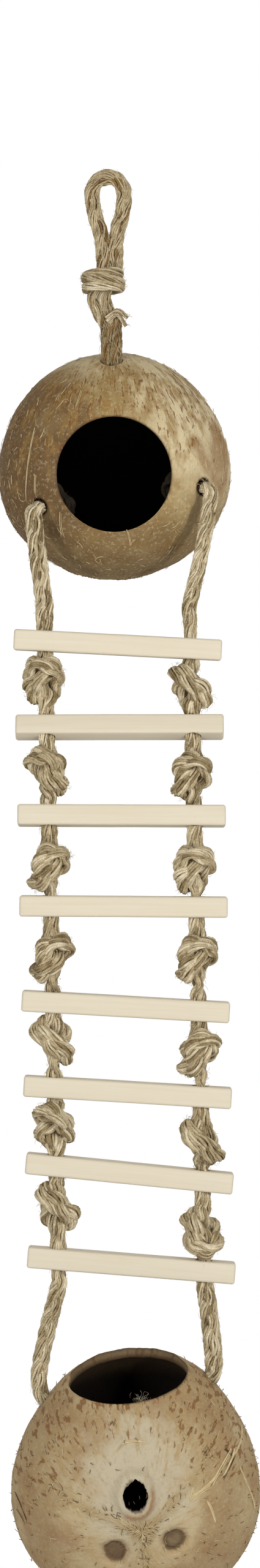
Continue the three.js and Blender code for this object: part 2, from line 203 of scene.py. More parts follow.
# The two ropes of the stem, x and y in mm, and how far they reach into the collar and the house.
STEM_ROPES = [(-1.9, -0.6), (2.1, -1.2)]
STEM_OVERLAP = 7 * MM

# Tight overhand knot in rope diameters, as in the part's source: half of the way round.
KNOT_PATH = [
    (0.76, 0, 0),
    (0.62, -0.76, -0.62),
    (0.24, -0.95, -0.9),
    (-0.19, -0.95, -1.09),
    (-0.62, -0.71, -1.09),
    (-0.9, -0.33, -1),
    (-1, 0.05, -0.71),
    (-0.9, 0.33, -0.38),
    (-0.62, 0.48, 0),
    (-0.29, 0.38, 0.29),
    (-0.1, 0.1, 0.62),
    (0, 0, 1.09),
]
KNOT_HALF = 1.465 * ROPE_DIAMETER
KNOT_REACH = 1.9 * ROPE_DIAMETER
KNOT_FACING = 0.35
STOP_SHORT = 1 * MM

# How far each knot is turned about its rope, in degrees, and its hand, as the photograph shows them.
KNOT_TURN = {
    "left": [170, 115, 125, 110, 285, 200, 240],
    "right": [245, 160, 155, 140, 125, 280, 30],
}
KNOT_HAND = {
    "left": [-1, 1, -1, -1, -1, -1, -1],
    "right": [-1, -1, -1, -1, -1, -1, 1],
}

# Rungs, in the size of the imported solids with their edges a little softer.
RUNG_COUNT = 8
RUNG_LENGTH = 100 * MM
RUNG_SIDE = 10 * MM
RUNG_EDGE = 1.3 * MM
RUNG_EDGE_STEPS = 4
RUNG_SHARP = 40
RUNG_PARTS = 40
RUNG_WAVE = 0.12 * MM
RUNG_WAVES_PER_METRE = 55
RUNG_ROLL = [0, -24, -9, 0, 0, 0, 0, 0]
ROPE_HOLE = 8.2 * MM
HOLE_LEAD = 0.55

# Coconut shells, within 2 mm and 2 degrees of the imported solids. Angles are in degrees.
HOUSE_RADIUS = 57 * MM
HOUSE_CROWN = 60 * MM
HOUSE_BASE = 51 * MM
HOUSE_RIDGE = 1.2 * MM
CUP_RADIUS = 59.5 * MM
CUP_TALL = 62 * MM
CUP_POLE = 57 * MM
CUP_RIDGE = 2 * MM
SHELL_WALL = 4 * MM
HOUSE_DOOR = 55 * MM
HOUSE_DOOR_DIP = 5
CUP_MOUTH = 57 * MM
CUP_MOUTH_LEAN = 15
CUP_MOUTH_SIDE = 3
CUP_POLE_DIP = 12
CUP_POLE_SIDE = 2.5
EYE_RING = 16.5 * MM
EYE_TURN = 102
HOUSE_HOLE_SIDE = {"left": 36 * MM, "right": 42.5 * MM}
HOUSE_HOLE_DROP = {"left": 18 * MM, "right": 10 * MM}
HOUSE_HOLE_SPREAD = 0.4
HOUSE_NECK = 4 * MM
CUP_HOLE_ANGLE = {"left": 41, "right": 51}
CUP_NECK = 6 * MM
STEM_HOLE = 10.8 * MM
CUP_DROP = 103 * MM
CUP_FORWARD = 1.4 * MM

# The bend of a rope over the rim of its hole in the house, outward and down in parts of its reach,
# and where the rope below bows and straightens, in parts of its height.
BEND_REACH = 4.5 * MM
RIM_BEND = [(0.35, 0), (0.85, 0.4), (1, 1.3)]
DROP_BOW = 0.55
DROP_STRAIGHT = 0.12

# The way of a rope down to its hole in the cup: outward, back and up from the hole, in mm.
CUP_LEAD = [(1.4, 1, 15), (1.6, 1.5, 5)]
CUP_LEAD_BOW = 0.5
UNDER_RUNG = 4 * MM
CUP_LIP = 1 * MM

# Faces of a shell's skin, of its inside and of the holes drilled in it.
SHELL_AROUND = 340
SHELL_DOWN = 190
CAVITY_AROUND = 96
CAVITY_DOWN = 48
HOLE_SIDES = 64

# Relief of the skin, how high: fibres, grain, lumps and seams, and the inside's own waves.
SKIN_FIBRE = 0.16 * MM
SKIN_GRAIN = 0.07 * MM
SKIN_LUMP = 0.5 * MM
SEAM_RISE = 0.6 * MM
CAVITY_WAVE = 0.4 * MM

# How close together they are, across the nut and along its pole for the first two.
FIBRES_CLOSE = (30, 9)
GRAIN_CLOSE = (75, 30)
LUMPS_CLOSE = 3.1
SMALL_LUMPS_CLOSE = 6.7
WAVES_CLOSE = 9

# Where a seam fades: away from the pole, aside of its line and at its end, in parts of the reach.
SEAM_POLE = (0.05, 0.15)
SEAM_SIDE = (0.01, 0.07)
SEAM_END = (0.35, 0.75)

# Closed eyes: a low dome in a groove in a bowl, all a little out of round.
EYE_DISC = 4.3 * MM
EYE_GROOVE = 5.2 * MM
EYE_BOWL = 8.4 * MM
EYE_DOME = 0.3 * MM
EYE_WOBBLE = 0.9 * MM
EYE_WOBBLES_CLOSE = 17
GROOVE_SHARE = 0.3
NEAR_POLE = 0.7
HOUSE_EYE_DEPTH = 0.6 * MM
CUP_EYE_DEPTH = 1.9 * MM

# The open eye: a teardrop with a raised lip round it. Each row of tears gives how deep they are,
# how close together, and where in the noise they start.
OPEN_EYE_WIDE = 5.7 * MM
OPEN_EYE_TALL = 7.4 * MM
OPEN_EYE_NARROW = 0.3
OPEN_EYE_SIDES = 48
OPEN_EYE_TEARS = [(0.13, 3, 2.3), (0.1, 9, 5.1)]
LIP_RISE = 1.5 * MM
LIP_INSIDE = (4.5 * MM, 7.5 * MM)
LIP_OUTSIDE = (8 * MM, 13 * MM)

# What is marked at each point of a shell.
# One mark carries both real stains and painted shade: the house's darker base and the closed eyes' bowls.
SHELL_MARKS = ("pale", "stain_and_shade", "rust", "straw", "crowd", "disc", "edge", "cut", "inside")

# An opening of a shell: its middle, its direction, its radius and the breadth of the dark line
# round it.
Opening = namedtuple("Opening", "at way radius line")
DOOR_LINE = 0.9 * MM
STEM_LINE = 0.4 * MM
MOUTH_LINE = 0.7 * MM
ROPE_LINE = 0.9 * MM

# Where marks begin and where they are full. In the wall, by depth, and inside, below the mouth:
CUT_DEPTH = (1.3 * MM, 1.9 * MM)
INSIDE_DEPTH = (2.6 * MM, 3.4 * MM)
# The inside's near black is painted shade, and DARK_BELOW is how far under the mouth it deepens.
DARK_BELOW = (8 * MM, 30 * MM)

# On the house, by how far a direction of the nut's own points to that side:
BRIGHT_RIGHT = (0.05, 0.75)
BRIGHT_ABOVE = (-0.55, 0.1)
PALE_CROWN = (0.66, 0.95)
DARK_LEFT = (-0.15, 0.6)
# The base of the house darkens with painted shade.
DARK_BASE = (0.1, 0.8)
STRAW_POLE = (-1, -0.97)
CROWD_ABOVE = (-0.3, 0.6)
RUSTY_WAY = Vector((0.88, -0.47, 0.05)).normalized()
RUSTY_PATCH = (0.93, 0.99)

# On the cup, by how far a point lies from its open eye, which counts for less upward, by how high
# it lies, how near the pole without eyes, or how cloudy the spot is:
FAR_FROM_EYE = (10 * MM, 46 * MM)
CLEAR_OF_EYE = (8 * MM, 20 * MM)
PALE_ROUND_EYE = (12 * MM, 34 * MM)
PALE_UPWARD = 0.4
CROWD_UPPER = (-20 * MM, 25 * MM)
BARE_POLE = (0.8, 0.97)
STAINED_SPOT = (0.55, 1.2)
BLUSHED_SPOT = (0, 0.5)

# Round the open eye, in parts of its own size, and aslant to its lower right:
DARK_RIM = (1, 1.06)
PALE_LIP = (1.25, 1.4)
# A dark ring just outside the lip: painted shade where the lip stands up.
LIP_SHADE_RING = (1.3, 1.5)
LIP_SHADE_RING_END = (1.6, 1.95)
REDDISH_BAND = (1.4, 1.85)
REDDISH_ASLANT = (1 * MM, 7 * MM)

# Fibres left on a shell, and which material of theirs is pale, dark or lint.
FIBRE_RADIUS = 0.11 * MM
FIBRE_STEP = 1.2 * MM
FIBRE_ROOM = 1.5 * MM
SPLIT_ASIDE = 0.012
SPLIT_ALONG = 0.06
SPLIT_THINNER = 0.3
PALE_FIBRE = 0
DARK_FIBRE = 1
LINT_FIBRE = 2

# Short fibres: how many, shortest and longest in mm, how thick against the rest, how far their
# tips stand off in mm, and which material. Then how far they stray from the meridian, and how they
# curl in each mm.
HOUSE_SCATTER = [
    (560, 1.5, 6, 1.15, 0.3, PALE_FIBRE),
    (260, 1, 2.6, 0.9, 1, DARK_FIBRE),
]
CUP_SCATTER = [
    (300, 1.5, 5, 1.1, 0.4, PALE_FIBRE),
    (560, 1, 2.4, 1.3, 1.5, DARK_FIBRE),
]
SCATTER_STRAY = 0.5
SCATTER_CURL = 0.25

# Straw along each seam of the cup: how many, how far from the pole and aside in parts of the nut's
# reach, how long in mm, how far the tips lift, and how they stray and curl as above.
SEAM_FIBRES = 120
SEAM_REACH = 0.75
SEAM_SPREAD = 0.035
SEAM_LENGTHS = (1.5, 4.5)
SEAM_LIFT = 0.5 * MM
SEAM_STRAY = 0.9
SEAM_CURL = 0.2

# Lint in the cup's mouth: how many hairs, their steps and thickness, and where they hang.
LINT_FIBRES = 40
LINT_STEP = 0.8 * MM
LINT_THICK = 0.25
LINT_LEVEL = 0.84
LINT_PLACE = Vector((6, -21, -6.5)) * MM

# Long fibres seen from the front, in parts of the nut's reach: from x, z to x, z, how they bow and
# how thick they are against the rest.
HOUSE_FIBRES = [
    (-0.65, 0.34, -0.74, -0.26, 0.1, 1.5),
    (-0.65, 0.01, -0.67, -0.23, 0, 1.5),
    (-0.47, -0.38, -0.47, -0.6, -0.1, 1.5),
    (0.1, -0.56, 0.13, -0.86, 0.15, 1.8),
    (0.45, 0.4, 0.51, 0.28, 0, 1.4),
    (-0.26, 0.64, -0.31, 0.5, 0.1, 1.4),
    (0.6, 0.16, 0.74, -0.04, 0.1, 1.5),
]
CUP_FIBRES = [
    (0.87, 0.46, 0.8, 0.3, 0.1, 4.4),
    (0.8, 0.34, 0.7, 0.16, 0.05, 4.4),
    (0.77, 0.35, 0.6, 0.13, -0.1, 3.6),
    (0.66, 0.2, 0.44, 0.05, 0.15, 3.6),
    (0.6, 0.12, 0.43, 0.03, -0.1, 3),
    (0.46, 0.13, 0.43, 0.02, 0, 3),
    (0.57, 0, 0.63, -0.18, 0.1, 3.6),
    (0.9, 0.03, 0.94, -0.18, 0, 3.6),
    (0.84, 0.2, 0.9, 0.02, -0.1, 3),
    (-0.1, 0.475, 0.1, 0.485, 0.3, 3.2),
    (-0.16, 0.4, -0.09, 0.47, 0, 1.6),
    (-0.48, -0.02, -0.44, -0.1, 0, 1.6),
]
CUP_DARK_FIBRES = [
    (0.8, 0.3, 0.69, 0.14, 0, 3.4),
    (0.72, 0.36, 0.78, 0.3, 0, 2.6),
    (-0.97, -0.02, -0.86, -0.2, 0.35, 1.3),
    (-0.95, -0.15, -0.88, -0.23, 0.3, 1.1),
]

# Sizes in the finishes: the stretches and fibres of a yarn, the change along a loose hair, the
# wood's grain, and the grit, patches, streaks and dashes of a scraped shell. A dash shows where
# its noise passes the least value, which crowding lowers.
YARN_STRETCH = 5 * MM
YARN_FIBRE = 0.7 * MM
HAIR_CHANGE = 3 * MM
GRAIN_LONG = 45 * MM
GRAIN_BROAD = 2.4 * MM
SHELL_GRIT = 1.6 * MM
SHELL_PATCH = 20 * MM
STREAK = (4.5 * MM, 10 * MM)
HOUSE_DASH = (1.3 * MM, 4 * MM)
CUP_DASH = (2.6 * MM, 6 * MM)
HOUSE_LEAST_DASH = 0.74
CUP_LEAST_DASH = 0.735
DASH_EDGE = 0.07
CROWDING = 0.2

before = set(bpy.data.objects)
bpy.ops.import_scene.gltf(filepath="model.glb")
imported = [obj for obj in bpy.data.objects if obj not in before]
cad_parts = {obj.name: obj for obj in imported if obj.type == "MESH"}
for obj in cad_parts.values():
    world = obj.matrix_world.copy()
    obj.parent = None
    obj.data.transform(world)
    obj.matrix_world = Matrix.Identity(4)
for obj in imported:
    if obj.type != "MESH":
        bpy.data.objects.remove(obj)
cad_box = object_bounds()


def hex_colour(code):
    """A linear colour from an sRGB hex value."""
    parts = [int(code[i : i + 2], 16) / 255 for i in (1, 3, 5)]
    linear = [c / 12.92 if c <= 0.04045 else ((c + 0.055) / 1.055) ** 2.4 for c in parts]
    return (*linear, 1)


def add_node(tree, kind, settings=None, values=None, links=None):
    """One shader node with its settings, its plain values and what is linked to it."""
    made = tree.nodes.new(kind)
    for name, value in (settings or {}).items():
        setattr(made, name, value)
    for name, value in (values or {}).items():
        made.inputs[name].default_value = value
    for name, socket in (links or {}).items():
        tree.links.new(socket, made.inputs[name])
    return made


def new_material(name, roughness):
    """A bare material, with its tree and its main shader."""
    material = bpy.data.materials.new(name)
    material.use_nodes = True
    tree = material.node_tree
    shader = tree.nodes["Principled BSDF"]
    shader.inputs["Roughness"].default_value = roughness
    shader.inputs["Specular IOR Level"].default_value = 0.25
    return material, tree, shader


# A colour mix has its factor, colours and result at these sockets.
MIX = {"data_type": "RGBA"}
MIX_FACTOR = 0
MIX_FIRST = 6
MIX_SECOND = 7
MIX_RESULT = 2


def jute_yarn(name, dark, light):
    """Natural jute yarn: dull and matt, with paler fibres and grey stretches along it."""
    material, tree, shader = new_material(name, 0.9)
    place = add_node(tree, "ShaderNodeTexCoord").outputs["Object"]
    stretches = add_node(
        tree,
        "ShaderNodeTexNoise",
        values={"Scale": 1 / YARN_STRETCH, "Detail": 4.0, "Roughness": 0.65},
        links={"Vector": place},
    )
    fibres = add_node(
        tree,
        "ShaderNodeTexNoise",
        values={"Scale": 1 / YARN_FIBRE, "Detail": 3.0, "Roughness": 0.7},
        links={"Vector": place},
    )
    both = add_node(
        tree,
        "ShaderNodeMath",
        {"operation": "ADD"},
        links={0: stretches.outputs["Fac"], 1: fibres.outputs["Fac"]},
    )
    tone = add_node(
        tree,
        "ShaderNodeMapRange",
        values={"From Min": 0.78, "From Max": 1.2},
        links={"Value": both.outputs["Value"]},
    )
    coat = add_node(
        tree,
        "ShaderNodeMix",
        MIX,
        {MIX_FIRST: hex_colour(dark), MIX_SECOND: hex_colour(light)},
        {MIX_FACTOR: tone.outputs["Result"]},
    )
    bump = add_node(
        tree,
        "ShaderNodeBump",
        values={"Strength": 0.5, "Distance": 0.25 * MM},
        links={"Height": fibres.outputs["Fac"]},
    )
    tree.links.new(coat.outputs[MIX_RESULT], shader.inputs["Base Color"])
    tree.links.new(bump.outputs["Normal"], shader.inputs["Normal"])
    return material


def loose_fibre(name, dark, light):
    """Single plant fibres that lie loose: one dull colour that changes a little from hair to hair."""
    material, tree, shader = new_material(name, 0.7)
    place = add_node(tree, "ShaderNodeTexCoord").outputs["Object"]
    change = add_node(
        tree,
        "ShaderNodeTexNoise",
        values={"Scale": 1 / HAIR_CHANGE, "Detail": 1.0},
        links={"Vector": place},
    )
    coat = add_node(
        tree,
        "ShaderNodeMix",
        MIX,
        {MIX_FIRST: hex_colour(dark), MIX_SECOND: hex_colour(light)},
        {MIX_FACTOR: change.outputs["Fac"]},
    )
    tree.links.new(coat.outputs[MIX_RESULT], shader.inputs["Base Color"])
    return material


def planed_poplar():
    """Bare planed poplar: warm cream and nearly plain, with faint long grain along the stick. The
    stick's own map runs along it in metres."""
    material, tree, shader = new_material("planed_poplar", 0.6)
    lay = add_node(tree, "ShaderNodeUVMap", {"uv_map": "grain"}).outputs["UV"]
    along = add_node(
        tree,
        "ShaderNodeMapping",
        values={"Scale": (1 / GRAIN_LONG, 1 / GRAIN_BROAD, 1)},
        links={"Vector": lay},
    )
    grain = add_node(
        tree,
        "ShaderNodeTexNoise",
        values={"Scale": 1.0, "Detail": 3.0, "Roughness": 0.45},
        links={"Vector": along.outputs["Vector"]},
    )
    tone = add_node(
        tree,
        "ShaderNodeMapRange",
        values={"From Min": 0.3, "From Max": 0.75},
        links={"Value": grain.outputs["Fac"]},
    )
    wood = add_node(
        tree,
        "ShaderNodeMix",
        MIX,
        {MIX_FIRST: hex_colour("#E1D6C0"), MIX_SECOND: hex_colour("#DCD0B6")},
        {MIX_FACTOR: tone.outputs["Result"]},
    )
    bump = add_node(
        tree,
        "ShaderNodeBump",
        values={"Strength": 0.15, "Distance": 0.1 * MM},
        links={"Height": grain.outputs["Fac"]},
    )
    tree.links.new(wood.outputs[MIX_RESULT], shader.inputs["Base Color"])
    tree.links.new(bump.outputs["Normal"], shader.inputs["Normal"])
    return material


def shell_patterns(tree, dash):
    """What is uneven all over a scraped shell: fine grit and broad patches, and the streaks and
    dashes that follow the attribute "lay", which runs round and down the nut."""
    place = add_node(tree, "ShaderNodeTexCoord").outputs["Object"]
    lay = add_node(tree, "ShaderNodeAttribute", {"attribute_name": "lay"}).outputs["Vector"]
    patterns = {}
    for pattern, spacing, detail, roughness in (
        ("grit", SHELL_GRIT, 4.0, 0.7),
        ("patch", SHELL_PATCH, 5.0, 0.62),
    ):
        patterns[pattern] = add_node(
            tree,
            "ShaderNodeTexNoise",
            values={"Scale": 1 / spacing, "Detail": detail, "Roughness": roughness},
            links={"Vector": place},
        ).outputs["Fac"]
    for pattern, (broad, long) in (("streak", STREAK), ("dash", dash)):
        spread = add_node(
            tree,
            "ShaderNodeMapping",
            values={"Scale": (HOUSE_RADIUS / broad, HOUSE_RADIUS / broad, 1 / long)},
            links={"Vector": lay},
        )
        patterns[pattern] = add_node(
            tree,
            "ShaderNodeTexNoise",
            values={"Scale": 1.0, "Detail": 3.0, "Roughness": 0.55},
            links={"Vector": spread.outputs["Vector"]},
        ).outputs["Fac"]
    return patterns


def shell_layers(tree, patterns, least_dash):
    """How much of each colour lies on a scraped shell, from the first laid down to the last. What
    belongs to one place on the nut comes from the mesh's own marks."""
    marks = {}
    for mark in SHELL_MARKS:
        marks[mark] = add_node(tree, "ShaderNodeAttribute", {"attribute_name": mark}).outputs["Fac"]
    crowded = {}
    for pattern in ("streak", "dash"):
        crowded[pattern] = add_node(
            tree,
            "ShaderNodeMath",
            {"operation": "MULTIPLY_ADD"},
            {1: CROWDING},
            {0: marks["crowd"], 2: patterns[pattern]},
        ).outputs["Value"]
    ranges = {
        "warm": (patterns["patch"], 0.4, 0.64, 0.8),
        "streaked": (crowded["streak"], 0.6, 0.78, 0.75),
        "worn": (patterns["grit"], 0.54, 0.72, 0.35),
        "scraped": (patterns["grit"], 0.47, 0.32, 0.4),
        "dashed": (crowded["dash"], least_dash, least_dash + DASH_EDGE, 0.8),
    }
    shares = {}
    for layer, (value, low, high, most) in ranges.items():
        shares[layer] = add_node(
            tree,
            "ShaderNodeMapRange",
            values={"From Min": low, "From Max": high, "To Max": most},
            links={"Value": value},
        ).outputs["Result"]
    return [
        (shares["warm"], "warm"),
        (marks["pale"], "pale"),
        (marks["stain_and_shade"], "stain_and_shade"),
        (marks["rust"], "rust"),
        (shares["streaked"], "warm"),
        (shares["worn"], "rust"),
        (shares["scraped"], "pale"),
        (marks["straw"], "straw"),
        (shares["dashed"], "fleck"),
        (marks["disc"], "disc"),
        (marks["edge"], "edge"),
        (marks["cut"], "cut"),
        (marks["inside"], "inside"),
    ]


def scraped_shell(name, colours, least_dash, dash):
    """Scraped coconut shell: a dull woody skin, streaked and mottled where the husk was scraped off, with
    short dark marks along the fibres, a dark cut edge and a dark brown inside deepened to near black with
    painted shade."""
    material, tree, shader = new_material(name, 0.78)
    patterns = shell_patterns(tree, dash)
    coat = add_node(tree, "ShaderNodeRGB").outputs["Color"]
    coat.default_value = hex_colour(colours["ground"])
    for share, colour in shell_layers(tree, patterns, least_dash):
        mixed = add_node(
            tree,
            "ShaderNodeMix",
            MIX,
            {MIX_SECOND: hex_colour(colours[colour])},
            {MIX_FACTOR: share, MIX_FIRST: coat},
        )
        coat = mixed.outputs[MIX_RESULT]
    rough = add_node(
        tree,
        "ShaderNodeMath",
        {"operation": "SUBTRACT"},
        links={0: patterns["grit"], 1: patterns["dash"]},
    )
    bump = add_node(
        tree,
        "ShaderNodeBump",
        values={"Strength": 0.6, "Distance": 0.45 * MM},
        links={"Height": rough.outputs["Value"]},
    )
    tree.links.new(coat, shader.inputs["Base Color"])
    tree.links.new(bump.outputs["Normal"], shader.inputs["Normal"])
    return material


def curve_points(way, step=ROPE_STEP):
    """Evenly spaced points on a smooth curve through the points of a way."""
    ends = [2 * way[0] - way[1], *way, 2 * way[-1] - way[-2]]
    dense = []
    for before, first, second, after in zip(ends, ends[1:], ends[2:], ends[3:]):
        for i in range(CURVE_STEPS):
            t = i / CURVE_STEPS
            out = (second - before) / 2
            back = (after - first) / 2
            gap = second - first
            point = first + out * t + (3 * gap - 2 * out - back) * t**2
            dense.append(point + (out + back - 2 * gap) * t**3)
    dense.append(way[-1].copy())
    even = [dense[0]]
    left = step
    for first, second in zip(dense, dense[1:]):
        span = (second - first).length
        while span >= left:
            first = first.lerp(second, left / span)
            even.append(first)
            span = (second - first).length
            left = step
        left -= span
    if (dense[-1] - even[-1]).length > step / 4:
        even.append(dense[-1])
    return even


def running_frames(points, side=ACROSS, knot=None):
    """At each point, the way along and two ways across that turn as little as they can. Inside a
    knot the flat of the plait turns to face outwards, and outside it turns back."""
    frames = []
    across = side
    for i, point in enumerate(points):
        along = (points[min(i + 1, len(points) - 1)] - points[max(i - 1, 0)]).normalized()
        if knot is not None:
            near = (point - knot).length < KNOT_REACH
            flat = along.cross(point - knot) if near else side
            if flat.dot(across) < 0:
                flat = -flat
            across = across + flat.normalized() * KNOT_FACING
        across = across - along * across.dot(along)
        if across.length < 1e-6:
            across = along.orthogonal()
        across = across.normalized()
        frames.append((along, across, along.cross(across)))
    return frames


def add_spline(curve, points, radii, material=0):
    """One thread of a curve object, with its thickness at each point."""
    spline = curve.splines.new("POLY")
    spline.points.add(len(points) - 1)
    spline.material_index = material
    for place, point, radius in zip(spline.points, points, radii):
        place.co = (*point, 1)
        place.radius = radius


def soft_step(value, low, high):
    """0 below low, 1 above high, and a smooth rise between."""
    t = min(max((value - low) / (high - low), 0), 1)
    return t * t * (3 - 2 * t)


def add_strand(curve, centre, frames, sizes):
    """One flat strand: two cores, and loose yarns that wind slowly round them."""
    # The cores' dark material shows in the gaps between the yarns as painted shade.
    for aside in (-CORE_OFFSET, CORE_OFFSET):
        core = [p + f[1] * aside * size for p, f, size in zip(centre, frames, sizes)]
        add_spline(curve, core, [CORE_RADIUS / YARN_RADIUS * size for size in sizes], CORE_TONE)
    start = random.random()
    for yarn in range(YARNS):
        thread = []
        radii = []
        drift = Vector((yarn * YARN_SHIFT, start * STRAND_SHIFT, 0))
        for i, (point, (_, across, deep), size) in enumerate(zip(centre, frames, sizes)):
            stray = noise.noise(point * STRAYS_PER_METRE + drift)
            round_strand = (yarn + YARN_STRAY * stray) / YARNS
            turn = 2 * math.pi * (start + i * ROPE_STEP / YARN_TWIST + round_strand)
            wide = across * (STRAND_WIDE * math.cos(turn))
            flat = deep * (STRAND_FLAT * math.sin(turn))
            thread.append(point + (wide + flat) * (size * (1 + YARN_LIFT * stray)))
            swell = noise.noise(point * SWELLS_PER_METRE - drift)
            radii.append(size * (1 + YARN_SWELL * swell))
        add_spline(curve, thread, radii, random.choices(TONES, TONE_SHARES)[0])


def add_plait(curve, points, frames, sizes):
    """Three strands that weave over each other, and dwell at the edges so the rope stays straight."""
    start = random.random()
    for strand in range(STRANDS):
        centre = []
        for i, (point, (_, across, deep), size) in enumerate(zip(points, frames, sizes)):
            turn = 2 * math.pi * (start + i * ROPE_STEP / PLAIT_PITCH + strand / STRANDS)
            dwell = math.sin(turn) + PLAIT_SQUARE * math.sin(3 * turn)
            rise = math.sin(2 * turn)
            weave = across * (STRAND_SWING * dwell) + deep * (STRAND_DEPTH * rise)
            centre.append(point + weave * size)
        add_strand(curve, centre, frames, sizes)


def add_hairs(curve, points, frames, size):
    """Loose fibres that stand off the rope."""
    count = int(len(points) * ROPE_STEP / MM * HAIRS_PER_MM)
    thin = HAIR_RADIUS / YARN_RADIUS
    for _ in range(count):
        i = random.randrange(len(points))
        along, across, deep = frames[i]
        turn = random.uniform(0, 2 * math.pi)
        out = across * math.cos(turn) + deep * math.sin(turn)
        sway = along * random.uniform(-HAIR_LEAN, HAIR_LEAN)
        sway += out.cross(along) * random.uniform(-HAIR_STRAY, HAIR_STRAY)
        reach = HAIR_LENGTH * random.uniform(HAIR_SHORTEST, 1)
        root = points[i] + out * (HAIR_ROOT * size)
        middle = root + (out * HAIR_MIDDLE[0] + sway * HAIR_MIDDLE[1]) * reach
        tip = root + (out * HAIR_TIP[0] + sway * HAIR_TIP[1]) * reach
        add_spline(curve, [root, middle, tip], [thin, thin, thin * HAIR_POINT], HAIR_TONE)


def new_curve(name, radius, *materials):
    """An empty curve object of round threads."""
    curve = bpy.data.curves.new(name, "CURVE")
    curve.dimensions = "3D"
    curve.bevel_depth = radius
    curve.bevel_resolution = 1
    curve.use_fill_caps = True
    for material in materials:
        curve.materials.append(material)
    maker = bpy.data.objects.new(name + "_maker", curve)
    bpy.context.collection.objects.link(maker)
    return maker


def finished_mesh(maker, name):
    """The maker's shape with all its modifiers, as a plain smooth mesh object at the origin."""
    bpy.context.view_layer.update()
    shape = maker.evaluated_get(bpy.context.evaluated_depsgraph_get())
    mesh = bpy.data.meshes.new_from_object(shape)
    bpy.data.objects.remove(maker)
    mesh.polygons.foreach_set("use_smooth", [True] * len(mesh.polygons))
    piece = bpy.data.objects.new(name, mesh)
    bpy.context.collection.objects.link(piece)
    return piece


def jute_piece(maker, name):
    """A finished piece of rope."""
    piece = finished_mesh(maker, name)
    return piece


def rope_sizes(points, size, ends, knot):
    """The rope's size at each point: drawn in at its ends, and swollen where it is knotted."""
    sizes = []
    for i, point in enumerate(points):
        first = soft_step(i * ROPE_STEP, 0, END_REACH)
        last = soft_step((len(points) - 1 - i) * ROPE_STEP, 0, END_REACH)
        here = size * (ends[0] + (1 - ends[0]) * first) * (ends[1] + (1 - ends[1]) * last)
        if knot is not None:
            reach = (point - knot).length
            here *= 1 + KNOT_SWELL * (1 - soft_step(reach, 0.6 * KNOT_REACH, KNOT_REACH))
        sizes.append(here)
    return sizes


def add_rope(curve, way, size, ends=FULL_ENDS, knot=None):
    """Plaited rope with its hairs along a way."""
    points = curve_points(way)
    frames = running_frames(points, knot=knot)
    add_plait(curve, points, frames, rope_sizes(points, size, ends, knot))
    add_hairs(curve, points, frames, size)


def plaited_rope(name, ways, size, ends=FULL_ENDS, knot=None, yarns=None):
    """A piece of plaited rope along one or more ways, of plain jute if no other yarns are named."""
    maker = new_curve(name, YARN_RADIUS, *(yarns or JUTE))
    for way in ways:
        add_rope(maker.data, way, size, ends, knot)
    return jute_piece(maker, name)


def knot_way(centre, turn, top, bottom):
    """The way of a rope through an overhand knot, from its top end down to its bottom end."""
    half = [Vector(p) * ROPE_DIAMETER for p in KNOT_PATH]
    upper = [*half, Vector((0, 0, top))]
    lower = [Vector((p.x, -p.y, -p.z)) for p in [*half[1:], Vector((0, 0, bottom))]]
    way = [*reversed(lower), *upper]
    return [centre + turn @ p for p in reversed(way)]


def middle_of(node):
    """The middle of a node's box."""
    low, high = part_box(node)
    return (Vector(low) + Vector(high)) / 2


def top_of(node):
    """How high a node's box reaches."""
    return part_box(node)[1][2]


def bottom_of(node):
    """How low a node's box reaches."""
    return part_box(node)[0][2]


def sign_of(side):
    """Which way a side lies along X."""
    return -1 if side == "left" else 1


def lean_about(axis, degrees):
    """A turn about one of the frame's axes."""
    return Matrix.Rotation(math.radians(degrees), 3, axis)


class Shell:
    """The form of one coconut, from its middle to its sides and poles, with three blunt ridges."""

    def __init__(self, centre, pole_way, wide, tall, crown, base, ridge):
        self.centre = centre
        self.turn = UP.rotation_difference(pole_way).to_matrix()
        self.wide = wide
        self.tall = tall
        self.crown = crown
        self.base = base
        self.ridge = ridge

    def reach(self, way):
        """How far the skin lies from the middle on each of the nut's own axes, in one direction."""
        round_about = math.atan2(way.y, way.x)
        proud = self.ridge * math.cos(3 * (round_about - math.pi / 2)) * (1 - way.z**2)
        pole = self.crown if way.z > 0 else self.base
        return Vector((self.wide + proud, self.tall + proud, pole))

    def spot(self, way, proud=0):
        """A point on the skin, or proud of it, in a direction of the nut's own."""
        reach = self.reach(way)
        place = Vector((way.x * reach.x, way.y * reach.y, way.z * reach.z))
        return self.centre + self.turn @ (place + way * proud)

    def way_to(self, point):
        """The nut's own direction to a point, and how deep the point lies under the skin."""
        place = self.turn.transposed() @ (point - self.centre)
        rough = Vector((place.x / self.wide, place.y / self.tall, place.z / self.crown))
        reach = self.reach(rough.normalized())
        exact = Vector((place.x / reach.x, place.y / reach.y, place.z / reach.z))
        return exact.normalized(), (1 - exact.length) * self.wide

    def eye_way(self, index, pole_sign):
        """The nut's own direction to one of the three eyes round a pole."""
        about = math.radians(EYE_TURN + 120 * index)
        pole = self.crown if pole_sign > 0 else self.base
        aside = Vector((math.cos(about), math.sin(about), 0)) * (EYE_RING / pole)
        return (Vector((0, 0, pole_sign)) + aside).normalized()


JUTE_HAIR = loose_fibre("loose_jute_hair", "#B3A282", "#DCD0B4")
JUTE = [
    jute_yarn("jute_yarn", "#95825F", "#CDBC98"),
    jute_yarn("pale_jute_yarn", "#B6A480", "#E8DBBD"),
    jute_yarn("dark_jute_yarn", "#6F5B3B", "#A5926C"),
    JUTE_HAIR,
]
STAINED_YARN = jute_yarn("stained_jute_yarn", "#5E4526", "#94764A")
WORN_JUTE = [JUTE[0], JUTE[0], STAINED_YARN, JUTE_HAIR]
STAINED_JUTE = [JUTE[2], JUTE[2], STAINED_YARN, JUTE_HAIR]
# Nearly black yarn for the knots inside the shells: painted shade of the shells' dark insides.
SHADE_DARK_YARN = jute_yarn("shade_dark_jute_yarn", "#1E1810", "#3C3324")
SHADE_DARK_JUTE = [SHADE_DARK_YARN] * len(JUTE)
STRAW = loose_fibre("pale_husk_fibre", "#BCA26E", "#E6D7AE")
DARK_HUSK = loose_fibre("dark_husk_fibre", "#4A3521", "#7A5C38")
POPLAR = planed_poplar()

